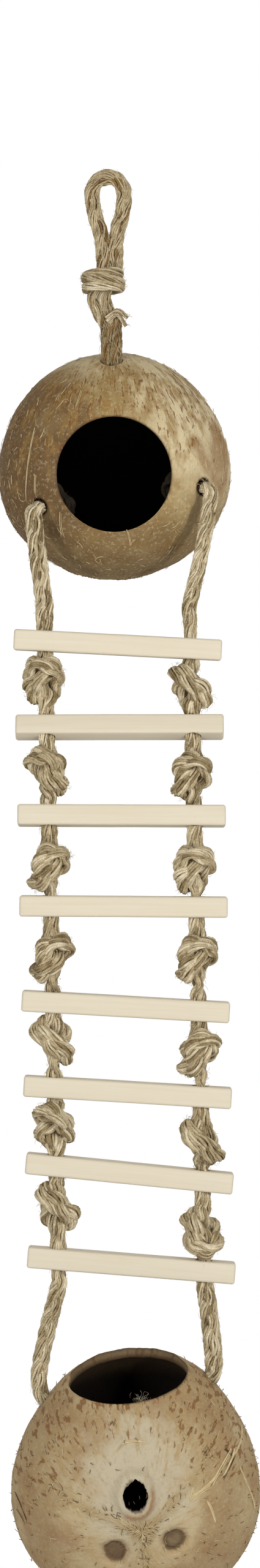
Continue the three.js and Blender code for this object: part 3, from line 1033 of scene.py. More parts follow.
ladder_y = middle_of("rung_1").y
house_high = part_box("coconut_house")[1]
house_centre = Vector((0, house_high[1] - HOUSE_RADIUS - HOUSE_RIDGE, house_high[2] - HOUSE_CROWN))
cup_centre = Vector((0, ladder_y - CUP_FORWARD, middle_of("rung_8").z - CUP_DROP))
cup_pole_way = lean_about("Z", CUP_POLE_SIDE) @ lean_about("X", CUP_POLE_DIP) @ Vector((0, -1, 0))
cup_mouth_way = lean_about("Y", -CUP_MOUTH_SIDE) @ lean_about("X", CUP_MOUTH_LEAN) @ UP
house_nut = Shell(
    house_centre, UP, HOUSE_RADIUS, HOUSE_RADIUS, HOUSE_CROWN, HOUSE_BASE, HOUSE_RIDGE
)
cup_nut = Shell(cup_centre, cup_pole_way, CUP_RADIUS, CUP_TALL, CUP_POLE, CUP_POLE, CUP_RIDGE)


def rope_axis(side):
    """Where a ladder rope hangs, at the height of the hook."""
    place = middle_of(f"rung_rope_1_{side}")
    return Vector((place.x, place.y, 0))


def house_hole(side):
    """Where a ladder rope leaves the house, and the way it points."""
    x = sign_of(side) * HOUSE_HOLE_SIDE[side]
    z = -HOUSE_HOLE_DROP[side]
    y = -math.sqrt(HOUSE_RADIUS**2 - x**2 - (z * HOUSE_RADIUS / HOUSE_BASE) ** 2)
    outward = Vector((x * HOUSE_HOLE_SPREAD, y, z * HOUSE_HOLE_SPREAD)).normalized()
    return house_centre + Vector((x, y, z)), outward


def cup_hole(side):
    """Where a rope goes into the cup's shoulder, and the way it points."""
    angle = math.radians(CUP_HOLE_ANGLE[side])
    across = sign_of(side) * math.cos(angle)
    upward = math.sin(angle)
    proud = CUP_RIDGE * math.cos(3 * (angle - math.pi / 2))
    place = Vector((across * (CUP_RADIUS + proud), 0, upward * (CUP_TALL + proud)))
    outward = Vector((across / CUP_RADIUS, 0, upward / CUP_TALL)).normalized()
    return cup_centre + place, outward


collar_top = -LOOP_LENGTH - THROAT_LENGTH - 2 * SEAT_GAP
collar_middle = collar_top - COLLAR_HEIGHT / 2


def hang_loop():
    """The loop for the hook: one rope up, over and down, with both legs into the collar."""
    left = [Vector((-x, 0, z)) * MM for x, z in LOOP_WAY]
    right = [Vector((x, 0, z)) * MM for x, z in reversed(LOOP_WAY)]
    way = [*left, Vector((0, 0, ROPE_DIAMETER / 2)), *right]
    piece = plaited_rope("loop_rope", [way], LOOP_SIZE, LOOP_ENDS, yarns=WORN_JUTE)
    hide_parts("hanging_loop", "loop_leg_left", "loop_leg_right")
    throat = -LOOP_LENGTH - THROAT_LENGTH
    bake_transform(piece, "hanger", "hanging_knot", start=(0, 0, -LOOP_LENGTH), end=(0, 0, throat))


def collar_turn(level, lean, reach):
    """One turn of a strand round both legs, higher at one side."""
    ring = []
    for i in range(COLLAR_ROUND + 1):
        turn = 2 * math.pi * (i / COLLAR_ROUND + COLLAR_START)
        x = reach * math.cos(turn)
        y = COLLAR_FLAT * reach * math.sin(turn)
        rise = level * COLLAR_HEIGHT + lean * x
        ring.append(Vector((x - COLLAR_SHIFT, y, collar_middle + rise)))
    return ring


def hang_knot():
    """The collar of smooth strands, both legs that swing out below it, and the cut tail."""
    maker = new_curve("collar_rope", YARN_RADIUS, *JUTE)
    reach = COLLAR_WIDTH / 2 - STRAND_FLAT - YARN_RADIUS
    for level, lean, pull in COLLAR_TURNS:
        points = curve_points(collar_turn(level, lean, reach * pull))
        frames = running_frames(points, UP)
        add_strand(maker.data, points, frames, [COLLAR_SIZE] * len(points))
        add_hairs(maker.data, points, frames, COLLAR_HAIR)
    for leg in (STANDING_LEG, ENDING_LEG):
        add_rope(maker.data, [Vector((x * MM, y * MM, z * MM)) for x, y, z in leg], TIE_SIZE)
    for tail in CUT_TAIL:
        points = curve_points([Vector(place) * MM for place in tail])
        frames = running_frames(points)
        add_strand(maker.data, points, frames, rope_sizes(points, TAIL_SIZE, TAIL_ENDS, None))
        add_hairs(maker.data, points[-3:], frames[-3:], TAIL_HAIR)
    piece = jute_piece(maker, "collar_rope")
    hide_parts("hanging_knot")
    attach(piece, "hanging_knot")


def hang_stem():
    """The doubled rope from the collar into the house."""
    top = top_of("hanging_stem") + STEM_OVERLAP
    bottom = bottom_of("hanging_stem") - STEM_OVERLAP
    ways = []
    for x, y in STEM_ROPES:
        ways.append([Vector((x * MM, y * MM, z)) for z in (top, (top + bottom) / 2, bottom)])
    piece = plaited_rope("stem_rope", ways, STEM_SIZE, yarns=STAINED_JUTE)
    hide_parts("hanging_stem")
    start = (0, 0, top_of("hanging_stem"))
    end = (0, 0, bottom_of("hanging_stem"))
    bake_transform(piece, "hanging_knot", "stem", start=start, end=end)


def end_knot(name, node, body, hole, outward, neck):
    """The knotted end of a rope inside a shell, as the frame's node lies, in yarn darkened with painted
    shade.
    """
    along = (middle_of(node) - hole).dot(outward)
    depth = neck - KNOT_HALF - 2 * along
    centre = hole - outward * depth
    turn = UP.rotation_difference(outward).to_matrix()
    way = knot_way(centre, turn, depth - STOP_SHORT, KNOT_HALF)
    piece = plaited_rope(name, [way], STOP_SIZE, knot=centre, yarns=SHADE_DARK_JUTE)
    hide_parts(node)
    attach(piece, body)


def hole_way(rung):
    """The way of a rung's rope holes, square to the stick."""
    return lean_about("X", RUNG_ROLL[rung - 1]) @ UP


def house_rope(side):
    """From the house's hole, over its rim, down the front and into the first rung."""
    hole, outward = house_hole(side)
    axis = rope_axis(side)
    bottom = bottom_of(f"house_rope_{side}")
    foot = axis + UP * bottom
    rim = hole + outward * HOUSE_NECK
    bend = [rim + outward * out * BEND_REACH - UP * down * BEND_REACH for out, down in RIM_BEND]
    bent = bend[-1]
    way = [
        hole - outward * SHELL_WALL,
        rim,
        *bend,
        foot.lerp(bent, DROP_BOW),
        axis + UP * (bottom + DROP_STRAIGHT * (bent.z - bottom)),
        foot,
        axis + UP * middle_of("rung_1").z,
    ]
    way.reverse()
    piece = plaited_rope(f"drop_rope_{side}", [way], DROP_SIZE[side], DROP_ENDS)
    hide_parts(f"house_rope_{side}", f"rung_rope_1_{side}")
    start = foot + UP * DROP_FOLD[0]
    end = foot - UP * DROP_FOLD[1]
    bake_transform(piece, "house", "step_1", start=start, end=end)


def bay_rope(side, bay):
    """From inside a rung through the knot below it and into the next rung."""
    axis = rope_axis(side)
    upper = middle_of(f"rung_{bay}").z
    lower = middle_of(f"rung_{bay + 1}").z
    knot_top = bottom_of(f"rung_rope_{bay}_{side}") - SEAT_GAP
    below = f"rung_rope_{bay + 1}_{side}" if bay + 1 < RUNG_COUNT else f"cup_rope_{side}"
    knot_bottom = top_of(below) + SEAT_GAP
    middle = axis + UP * (knot_top + knot_bottom) / 2
    hand = Matrix.Diagonal((KNOT_HAND[side][bay - 1], 1, 1))
    turn = hand @ lean_about("Z", KNOT_TURN[side][bay - 1])
    half = (knot_top - knot_bottom) / 2
    way = [axis + UP * upper, *knot_way(middle, turn, half, half), axis + UP * lower]
    way.insert(1, axis + UP * upper - hole_way(bay) * HOLE_LEAD * RUNG_SIDE)
    way.insert(-1, axis + UP * lower + hole_way(bay + 1) * HOLE_LEAD * RUNG_SIDE)
    piece = plaited_rope(f"bay_rope_{bay}_{side}", [way], BAY_SIZE, BAY_ENDS, middle)
    nodes = [f"knot_{bay}_{side}"]
    if bay > 1:
        nodes.append(f"rung_rope_{bay}_{side}")
    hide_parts(*nodes)
    rung_under = bottom_of(f"rung_{bay}") + BAY_FOLD_INSIDE
    start = axis + UP * max(rung_under, knot_top + BAY_FOLD[0])
    end = axis + UP * (knot_top - BAY_FOLD[1])
    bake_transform(piece, f"step_{bay}", f"step_{bay + 1}", start=start, end=end)


def cup_rope(side):
    """From inside the last rung, spreading to the cup's shoulder and in through its hole."""
    hole, outward = cup_hole(side)
    axis = rope_axis(side)
    middle = middle_of("rung_8").z
    under = middle - RUNG_SIDE / 2
    lead = []
    for out, back, up in CUP_LEAD:
        lead.append(hole + Vector((sign_of(side) * out * MM, back * MM, up * MM)))
    way = [
        axis + UP * middle,
        axis + UP * under,
        axis + UP * (under - UNDER_RUNG),
        (axis + UP * under).lerp(lead[0], CUP_LEAD_BOW),
        *lead,
        hole - outward * CUP_LIP,
        hole - outward * SHELL_WALL,
    ]
    piece = plaited_rope(f"cup_drop_{side}", [way], CUP_DROP_SIZE[side], CUP_DROP_ENDS)
    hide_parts(f"cup_rope_{side}")
    start = axis + UP * (under + CUP_FOLD[0])
    end = axis + UP * (under - CUP_FOLD[1])
    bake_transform(piece, "step_8", "cup", start=start, end=end)


def mesh_object(name, bm):
    """A bmesh as an object of its own."""
    mesh = bpy.data.meshes.new(name)
    bm.to_mesh(mesh)
    bm.free()
    made = bpy.data.objects.new(name, mesh)
    bpy.context.collection.objects.link(made)
    return made


def drill_bit(at, along, radius, length):
    """A cylinder that cuts a hole, centred at a point."""
    bm = bmesh.new()
    bmesh.ops.create_cone(
        bm, cap_ends=True, segments=HOLE_SIDES, radius1=radius, radius2=radius, depth=length
    )
    turn = UP.rotation_difference(along).to_matrix().to_4x4()
    bmesh.ops.transform(bm, matrix=Matrix.Translation(at) @ turn, verts=bm.verts)
    return mesh_object("drill_bit", bm)


def torn_eye_bit(nut):
    """A ragged teardrop that cuts the open eye through the wall."""
    way = nut.eye_way(0, 1)
    bm = bmesh.new()
    bmesh.ops.create_circle(bm, cap_ends=True, segments=OPEN_EYE_SIDES, radius=1)
    for vertex in bm.verts:
        turn = math.atan2(vertex.co.y, vertex.co.x)
        tear = 0
        for deep, close, start in OPEN_EYE_TEARS:
            round_eye = Vector((close * math.cos(turn), close * math.sin(turn), start))
            tear += deep * noise.noise(round_eye)
        narrow = 1 - OPEN_EYE_NARROW * max(0, vertex.co.y)
        vertex.co.x *= OPEN_EYE_WIDE * narrow * (1 + tear)
        vertex.co.y *= OPEN_EYE_TALL * (1 + tear)
    made = bmesh.ops.extrude_face_region(bm, geom=bm.faces[:])
    raised = [item for item in made["geom"] if isinstance(item, bmesh.types.BMVert)]
    bmesh.ops.translate(bm, vec=Vector((0, 0, 6 * SHELL_WALL)), verts=raised)
    bmesh.ops.translate(bm, vec=Vector((0, 0, -3 * SHELL_WALL)), verts=bm.verts)
    bmesh.ops.recalc_face_normals(bm, faces=bm.faces)
    turn = (nut.turn @ UP.rotation_difference(way).to_matrix()).to_4x4()
    bmesh.ops.transform(bm, matrix=Matrix.Translation(nut.spot(way)) @ turn, verts=bm.verts)
    return mesh_object("torn_eye_bit", bm)


def eye_wobble(way):
    """How far an eye's outline is out of round in one direction of the nut's own."""
    return EYE_WOBBLE * noise.noise(way * EYE_WOBBLES_CLOSE)


def eye_relief(nut, way, pole_sign, eye_depth, open_eye):
    """How far the skin rises or sinks round the eyes."""
    rise = 0
    if way.z * pole_sign < NEAR_POLE:
        return rise
    for i in range(3):
        gap = (nut.spot(way) - nut.spot(nut.eye_way(i, pole_sign))).length
        gap += eye_wobble(way)
        if open_eye and i == 0:
            rise += LIP_RISE * soft_step(gap, *LIP_INSIDE) * (1 - soft_step(gap, *LIP_OUTSIDE))
        elif gap < EYE_DISC:
            rise -= eye_depth - EYE_DOME * (1 - (gap / EYE_DISC) ** 2)
        elif gap < EYE_BOWL:
            groove = 1 - soft_step(gap, EYE_DISC, EYE_GROOVE)
            rise -= GROOVE_SHARE * eye_depth * groove
            rise -= eye_depth * (1 - soft_step(gap, EYE_DISC, EYE_BOWL))
    return rise


def seam_strength(way, pole_sign):
    """How near a direction lies to one of the three fibrous seams that run between the eyes."""
    if way.z * pole_sign < 0:
        return 0
    about = math.degrees(math.atan2(way.y, way.x))
    from_seam = (about - EYE_TURN) % 120 - 60
    flat = math.hypot(way.x, way.y)
    aside = flat * math.sin(math.radians(abs(from_seam)))
    near_pole = 1 - soft_step(flat, *SEAM_POLE)
    along = (1 - soft_step(aside, *SEAM_SIDE)) * (1 - soft_step(flat, *SEAM_END))
    return max(near_pole, along)


def lengthways_noise(way, across, along):
    """Noise in a direction of the nut's own, drawn out from pole to pole."""
    return noise.noise(Vector((way.x * across, way.y * across, way.z * along)))


def cut_piece(maker, name, cutters):
    """The maker's shape without the cutters' shapes, as a finished piece with no material yet."""
    for cutter in cutters:
        cut = maker.modifiers.new("cut", "BOOLEAN")
        cut.operation = "DIFFERENCE"
        cut.object = cutter
        cut.solver = "EXACT"
    piece = finished_mesh(maker, name)
    for cutter in cutters:
        bpy.data.objects.remove(cutter)
    piece.data.materials.clear()
    return piece


def coconut(name, nut, bits, pole_sign, eye_depth, open_eye):
    """A hollow scraped shell with a fibrous skin, its eyes at one pole, cut by drill bits."""
    bm = bmesh.new()
    bmesh.ops.create_uvsphere(bm, u_segments=SHELL_AROUND, v_segments=SHELL_DOWN, radius=1)
    for vertex in bm.verts:
        way = vertex.co.normalized()
        fibre = lengthways_noise(way, *FIBRES_CLOSE)
        grain = lengthways_noise(way, *GRAIN_CLOSE)
        lump = noise.noise(way * LUMPS_CLOSE) + 0.6 * noise.noise(way * SMALL_LUMPS_CLOSE)
        proud = SKIN_FIBRE * fibre + SKIN_GRAIN * grain + SKIN_LUMP * lump
        proud += SEAM_RISE * seam_strength(way, pole_sign) * (0.6 + grain)
        proud += eye_relief(nut, way, pole_sign, eye_depth, open_eye)
        vertex.co = nut.spot(way, proud)
    maker = mesh_object(name + "_maker", bm)
    bm = bmesh.new()
    bmesh.ops.create_uvsphere(bm, u_segments=CAVITY_AROUND, v_segments=CAVITY_DOWN, radius=1)
    for vertex in bm.verts:
        way = vertex.co.normalized()
        vertex.co = nut.spot(way, -SHELL_WALL + CAVITY_WAVE * noise.noise(way * WAVES_CLOSE))
    piece = cut_piece(maker, name, [mesh_object("cavity", bm), *bits])
    return piece


class Marks:
    """What lies where on a shell, from nothing to full, at each of its points."""

    def __init__(self, piece):
        self.piece = piece
        count = len(piece.data.vertices)
        self.values = {name: [0.0] * count for name in SHELL_MARKS}

    def add(self, name, i, value):
        """Adds to a mark where it is stronger than what is there."""
        self.values[name][i] = max(self.values[name][i], value)

    def store(self, nut, pole_sign):
        """Writes the marks, and the lay round and down the nut, as attributes of the mesh."""
        attributes = self.piece.data.attributes
        for name, values in self.values.items():
            attributes.new(name, "FLOAT", "POINT").data.foreach_set("value", values)
        lay = []
        for vertex in self.piece.data.vertices:
            way = nut.way_to(vertex.co)[0]
            about = math.atan2(way.y, way.x)
            down = math.acos(min(1, max(-1, way.z * pole_sign))) * nut.wide
            lay.extend((math.cos(about), math.sin(about), down))
        attributes.new("lay", "FLOAT_VECTOR", "POINT").data.foreach_set("vector", lay)


def from_rim(opening, point):
    """How far a point lies outside an opening's rim, and how far outward along its direction."""
    offset = point - opening.at
    outward = offset.dot(opening.way)
    return (offset - opening.way * outward).length - opening.radius, outward


def mark_wall(marks, nut, openings, lit):
    """The cut edge, the inside and the thin dark line round each opening of a shell. The inside is the
    shell's dark brown deepened to near black with painted shade, and with lit it is lighter near the first
    opening and darker away from it."""
    mouth = openings[0]
    for i, vertex in enumerate(marks.piece.data.vertices):
        depth = nut.way_to(vertex.co)[1]
        for opening in openings:
            gap, outward = from_rim(opening, vertex.co)
            if outward > -2 * SHELL_WALL and gap < opening.line:
                fade = soft_step(gap, 0.2 * opening.line, opening.line)
                marks.add("edge", i, 0.85 * (1 - fade))
        marks.add("cut", i, soft_step(depth, *CUT_DEPTH))
        below = soft_step((mouth.at - vertex.co).dot(mouth.way), *DARK_BELOW)
        # Painted shade: the inside near black, lighter near the mouth by lit.
        marks.add("inside", i, soft_step(depth, *INSIDE_DEPTH) * (1 - lit * (1 - below)))


def fibre_walk(nut, way, heading, length, curl, lift=0):
    """Points of a fibre that lies on a shell, from a direction of the nut's own."""
    steps = max(3, int(length / FIBRE_STEP))
    points = []
    for i in range(steps + 1):
        points.append(nut.spot(way, FIBRE_RADIUS + lift * i / steps))
        heading = (heading - way * heading.dot(way)).normalized()
        turn = way.cross(heading)
        heading = (heading + turn * (curl * length / steps)).normalized()
        way = (way + heading * (length / steps / nut.wide)).normalized()
    return points


def random_way():
    """A direction, with every one as likely."""
    z = random.uniform(-1, 1)
    turn = random.uniform(0, 2 * math.pi)
    flat = math.sqrt(1 - z * z)
    return Vector((flat * math.cos(turn), flat * math.sin(turn), z))


def front_way(nut, x, z):
    """The nut's own direction to a place seen from the front, in parts of the nut's reach."""
    y = math.sqrt(max(0, 1 - x * x - z * z))
    return nut.way_to(nut.centre + Vector((x * nut.wide, -y * nut.wide, z * nut.wide)))[0]


def clear_of(nut, way, openings, room):
    """True where a spot of the skin is clear of all openings."""
    for opening in openings:
        gap, outward = from_rim(opening, nut.spot(way))
        if outward > -4 * SHELL_WALL and gap < room:
            return False
    return True


def add_fibre(curve, points, thick=1.0, material=PALE_FIBRE):
    """One fibre, thinner at its tip."""
    radii = [thick] * len(points)
    radii[-1] = 0.4 * thick
    add_spline(curve, points, radii, material)


def scatter_fibres(curve, nut, openings, scatter):
    """Short fibres left on a shell, mostly along its meridians, some curled."""
    for count, shortest, longest, thick, lift, material in scatter:
        made = 0
        while made < count:
            way = random_way()
            meridian = (UP - way * way.z).normalized()
            aside = way.cross(meridian)
            heading = meridian * random.choice((-1, 1)) + aside * random.gauss(0, SCATTER_STRAY)
            length = random.uniform(shortest * MM, longest * MM)
            curl = random.gauss(0, SCATTER_CURL) / MM
            if clear_of(nut, way, openings, FIBRE_ROOM + longest * MM):
                tip = lift * MM * random.uniform(0.3, 1)
                points = fibre_walk(nut, way, heading, length, curl, tip)
                add_fibre(curve, points, thick * random.uniform(0.6, 1.2), material)
                made += 1


def front_fibres(curve, nut, fibres, material=PALE_FIBRE):
    """Single long fibres at their places on the front of a shell, each split in two."""
    for x0, z0, x1, z1, bend, thick in fibres:
        first = front_way(nut, x0, z0)
        last = front_way(nut, x1, z1)
        length = (nut.spot(last) - nut.spot(first)).length
        side = first.cross(last).normalized()
        heading = (last - first).normalized() + side * bend
        curl = -2 * bend / length
        for split in range(2):
            start = first + side * (SPLIT_ASIDE * split) + (last - first) * (SPLIT_ALONG * split)
            thinner = SPLIT_THINNER * split
            points = fibre_walk(nut, start.normalized(), heading, length, curl * (1 + thinner))
            add_fibre(curve, points, thick * (1 - thinner), material)


def husk_piece(maker, name, body):
    """Fibres on a shell as a finished piece that goes with it."""
    piece = finished_mesh(maker, name)
    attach(piece, body)
    return piece


def house_openings():
    """The house's door, the hanging rope's hole in its crown and the ladder ropes' two holes."""
    door_way = lean_about("X", HOUSE_DOOR_DIP) @ Vector((0, -1, 0))
    crown = Vector((0, 0, bottom_of("hanging_stem")))
    openings = [
        Opening(house_centre + door_way * HOUSE_RADIUS, door_way, HOUSE_DOOR / 2, DOOR_LINE),
        Opening(crown, UP, STEM_HOLE / 2, STEM_LINE),
    ]
    for side in SIDES:
        openings.append(Opening(*house_hole(side), ROPE_HOLE / 2, ROPE_LINE))
    return openings


def mark_house(piece, openings):
    """Browner to the left, darker below with painted shade, pale at the upper right, with a rusty patch at
    the right.
    """
    marks = Marks(piece)
    mark_wall(marks, house_nut, openings, 0)
    eyes = [house_nut.spot(house_nut.eye_way(i, -1)) for i in range(3)]
    for i, vertex in enumerate(piece.data.vertices):
        way = house_nut.way_to(vertex.co)[0]
        cloud = noise.noise(way * 4.3) + 0.6 * noise.noise(way * 9.1)
        bright = soft_step(way.x + 0.3 * way.z + 0.25 * cloud, *BRIGHT_RIGHT)
        crown = 0.85 * soft_step(way.z + 0.12 * cloud, *PALE_CROWN)
        marks.add("pale", i, max(0.95 * bright * soft_step(way.z, *BRIGHT_ABOVE), crown))
        dark = soft_step(-way.x + 0.3 * cloud - 0.22 * way.z**2, *DARK_LEFT)
        # low darkens the lower house: painted shade.
        low = soft_step(-way.z + 0.3 * cloud, *DARK_BASE)
        marks.add("stain_and_shade", i, max(dark * (1 - crown), 0.65 * low))
        marks.add("rust", i, 0.7 * soft_step(way.dot(RUSTY_WAY) + 0.06 * cloud, *RUSTY_PATCH))
        marks.add("straw", i, 0.5 * (1 - soft_step(way.z, *STRAW_POLE)))
        marks.add("crowd", i, soft_step(way.z + 0.5 * cloud, *CROWD_ABOVE) * (1 - 0.6 * crown))
        for eye in eyes:
            gap = (vertex.co - eye).length
            marks.add("disc", i, 0.25 * (1 - soft_step(gap, EYE_DISC, EYE_GROOVE)))
    marks.store(house_nut, -1)


def drilled(openings, lengths):
    """A drill bit for each opening of a shell."""
    bits = []
    for opening, length in zip(openings, lengths):
        bits.append(drill_bit(opening.at, opening.way, opening.radius, length))
    return bits


def house_skin():
    """The house's shell: olive brown, cream at the upper right, with narrow dashes."""
    colours = {
        "ground": "#B09A6C",
        "warm": "#96753F",
        "pale": "#DCCBA3",
        # Browner to the left, and painted shade at the base.
        "stain_and_shade": "#6E5434",
        "rust": "#91683E",
        "straw": "#B8A175",
        "fleck": "#784D27",
        "disc": "#6B5738",
        "edge": "#4A2F1C",
        "cut": "#4A3826",
        # Painted shade: the inside near black.
        "inside": "#0F0A07",
    }
    return scraped_shell("scraped_house_shell", colours, HOUSE_LEAST_DASH, HOUSE_DASH)


def coconut_house():
    """The house: a whole nut with its eyes hidden below, and the fibres left on it."""
    openings = house_openings()
    bits = drilled(openings, [HOUSE_RADIUS, 10 * SHELL_WALL, 8 * SHELL_WALL, 8 * SHELL_WALL])
    piece = coconut("house_shell", house_nut, bits, -1, HOUSE_EYE_DEPTH, False)
    mark_house(piece, openings)
    piece.data.materials.append(house_skin())
    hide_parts("coconut_house")
    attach(piece, "house")
    maker = new_curve("house_fibres", FIBRE_RADIUS, STRAW, DARK_HUSK)
    front_fibres(maker.data, house_nut, HOUSE_FIBRES)
    scatter_fibres(maker.data, house_nut, openings, HOUSE_SCATTER)
    husk_piece(maker, "house_fibres", "house")


def cup_openings():
    """The cup's mouth and the ropes' two holes."""
    mouth = cup_centre + cup_mouth_way * CUP_TALL
    openings = [Opening(mouth, cup_mouth_way, CUP_MOUTH / 2, MOUTH_LINE)]
    for side in SIDES:
        openings.append(Opening(*cup_hole(side), ROPE_HOLE / 2, ROPE_LINE))
    return openings


def mark_open_eye(marks, i, offset, cloud):
    """A pale torn rim round the open eye, reddish brown at its lower right, with a faint dark ring of
    painted shade outside the lip.
    """
    ring = math.hypot(offset.x / OPEN_EYE_WIDE, offset.z / OPEN_EYE_TALL) + 0.22 * cloud
    lip = 1 - soft_step(ring, *PALE_LIP)
    marks.add("pale", i, lip)
    aslant = soft_step(offset.x - offset.z, *REDDISH_ASLANT)
    reddish = 1 - soft_step(ring, *REDDISH_BAND)
    marks.add("rust", i, 0.85 * max(reddish - 0.7 * lip, 0) * aslant)
    # Painted shade: a faint, uneven dark ring outside the lip.
    groove = soft_step(ring, *LIP_SHADE_RING) * (1 - soft_step(ring, *LIP_SHADE_RING_END))
    marks.add("edge", i, 0.2 * groove * (0.5 + 0.5 * cloud))
    marks.add("edge", i, 0.7 * (1 - soft_step(ring, *DARK_RIM)))


def mark_closed_eye(marks, i, gap):
    """A dull disc in a dark ring, in a bowl darkened with painted shade."""
    marks.add("disc", i, 0.9 * (1 - soft_step(gap, EYE_DISC, EYE_GROOVE + 0.5 * MM)))
    ring = soft_step(gap, EYE_DISC - EYE_WOBBLE, EYE_DISC)
    ring *= 1 - soft_step(gap, EYE_GROOVE - 0.5 * MM, EYE_GROOVE + 0.7 * MM)
    marks.add("edge", i, 0.9 * ring)
    # Painted shade in the sunken bowl round the eye.
    marks.add("stain_and_shade", i, 0.6 * (1 - soft_step(gap, EYE_GROOVE, EYE_BOWL)))


def mark_cup(piece, openings):
    """Pale round the open eye and browner away from it, with straw seams and closed eyes."""
    marks = Marks(piece)
    mark_wall(marks, cup_nut, openings, 0.9)
    eyes = [cup_nut.spot(cup_nut.eye_way(i, 1)) for i in range(3)]
    for i, vertex in enumerate(piece.data.vertices):
        way = cup_nut.way_to(vertex.co)[0]
        cloud = noise.noise(way * 4.7) + 0.6 * noise.noise(way * 10.3)
        patch = noise.noise(way * 2.9 + Vector((4, 1, 7)))
        blush = noise.noise(way * 3.6 + Vector((9, 2, 5))) + 0.4 * cloud
        gaps = [(vertex.co - eye).length for eye in eyes]
        far = soft_step(gaps[0] + 9 * MM * cloud, *FAR_FROM_EYE)
        upper = 0.45 + 0.55 * soft_step((vertex.co - cup_centre).z, *CROWD_UPPER)
        upper *= 1 - 0.9 * soft_step(-way.z, *BARE_POLE)
        marks.add("crowd", i, max(far, 0.3) * upper * soft_step(gaps[0], *CLEAR_OF_EYE))
        marks.add("stain_and_shade", i, 0.55 * soft_step(far + 0.6 * patch, *STAINED_SPOT))
        marks.add("straw", i, 0.7 * seam_strength(way, 1) * (0.7 + 0.4 * cloud))
        marks.add("rust", i, 0.45 * far * soft_step(blush, *BLUSHED_SPOT))
        if way.z < 0:
            continue
        reach = gaps[0] - PALE_UPWARD * max(0, (vertex.co - eyes[0]).z)
        marks.add("pale", i, 0.8 * (1 - soft_step(reach + 8 * MM * cloud, *PALE_ROUND_EYE)))
        if gaps[0] < 3 * OPEN_EYE_TALL:
            mark_open_eye(marks, i, vertex.co - eyes[0], cloud)
        for gap in gaps[1:]:
            mark_closed_eye(marks, i, gap + eye_wobble(way))
    marks.store(cup_nut, 1)


def seam_fibres(curve):
    """Straw matted along the seams between the eyes, thickest at the pole, every third one dark."""
    for i in range(3):
        about = math.radians(EYE_TURN + 60 + 120 * i)
        for fibre in range(SEAM_FIBRES):
            flat = SEAM_REACH * random.random() ** 1.6
            turn = about + random.gauss(0, SEAM_SPREAD) / max(flat, 0.15)
            way = Vector((flat * math.cos(turn), flat * math.sin(turn), math.sqrt(1 - flat * flat)))
            heading = Vector((math.cos(turn), math.sin(turn), 0)) + random_way() * SEAM_STRAY
            length = random.uniform(*SEAM_LENGTHS) * MM
            curl = random.gauss(0, SEAM_CURL) / MM
            points = fibre_walk(cup_nut, way, heading, length, curl, SEAM_LIFT)
            material = DARK_FIBRE if fibre % 3 == 0 else PALE_FIBRE
            add_fibre(curve, points, random.uniform(0.7, 1.3), material)


def mouth_lint(curve):
    """A wisp of pale lint caught inside the mouth's front rim."""
    rim = cup_centre + cup_mouth_way * LINT_LEVEL * CUP_TALL + LINT_PLACE
    for _ in range(LINT_FIBRES):
        root = rim + Vector([random.gauss(0, 1.4) * MM for _ in range(3)])
        knee = root + Vector((random.gauss(0, 1.2), random.gauss(1, 1), random.uniform(0.6, 2.6))) * MM
        tip = knee + Vector((random.gauss(0, 1.6), random.gauss(1, 1.2), random.uniform(-1, 1.6))) * MM
        add_fibre(curve, curve_points([root, knee, tip], LINT_STEP), LINT_THICK, LINT_FIBRE)


def cup_skin():
    """The cup's shell: paler and greyer than the house, with broad brown dashes."""
    colours = {
        "ground": "#C4B088",
        "warm": "#AE9366",
        "pale": "#C3B89E",
        "stain_and_shade": "#97774F",
        # Stains, and painted shade in the closed eyes' bowls.
        "rust": "#9A7049",
        "straw": "#A0834F",
        "fleck": "#80552C",
        "disc": "#8C7C5A",
        "edge": "#433321",
        "cut": "#6E583F",
        # Painted shade: the inside near black.
        "inside": "#1C140D",
    }
    return scraped_shell("scraped_cup_shell", colours, CUP_LEAST_DASH, CUP_DASH)


def coconut_cup():
    """The cup: a nut with its eyes to the front, one of them open, and the fibres left on it."""
    openings = cup_openings()
    bits = drilled(openings, [CUP_RADIUS, 4 * SHELL_WALL, 4 * SHELL_WALL])
    piece = coconut("cup_shell", cup_nut, [torn_eye_bit(cup_nut), *bits], 1, CUP_EYE_DEPTH, True)
    mark_cup(piece, openings)
    piece.data.materials.append(cup_skin())
    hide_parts("coconut_cup")
    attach(piece, "cup")
    maker = new_curve("cup_fibres", FIBRE_RADIUS, STRAW, DARK_HUSK, JUTE_HAIR)
    scatter_fibres(maker.data, cup_nut, openings, CUP_SCATTER)
    front_fibres(maker.data, cup_nut, CUP_FIBRES)
    front_fibres(maker.data, cup_nut, CUP_DARK_FIBRES, DARK_FIBRE)
    seam_fibres(maker.data)
    mouth_lint(maker.data)
    husk_piece(maker, "cup_fibres", "cup")


def rung_tilt(node):
    """How far a rung drops from its left end to its right, in degrees, from the frame's solid."""
    ends = {-1: [], 1: []}
    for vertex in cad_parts[node].data.vertices:
        if abs(vertex.co.x) > 0.45 * RUNG_LENGTH:
            ends[1 if vertex.co.x > 0 else -1].append(vertex.co.z)
    drop = sum(ends[-1]) / len(ends[-1]) - sum(ends[1]) / len(ends[1])
    return math.degrees(math.asin(drop / RUNG_LENGTH))


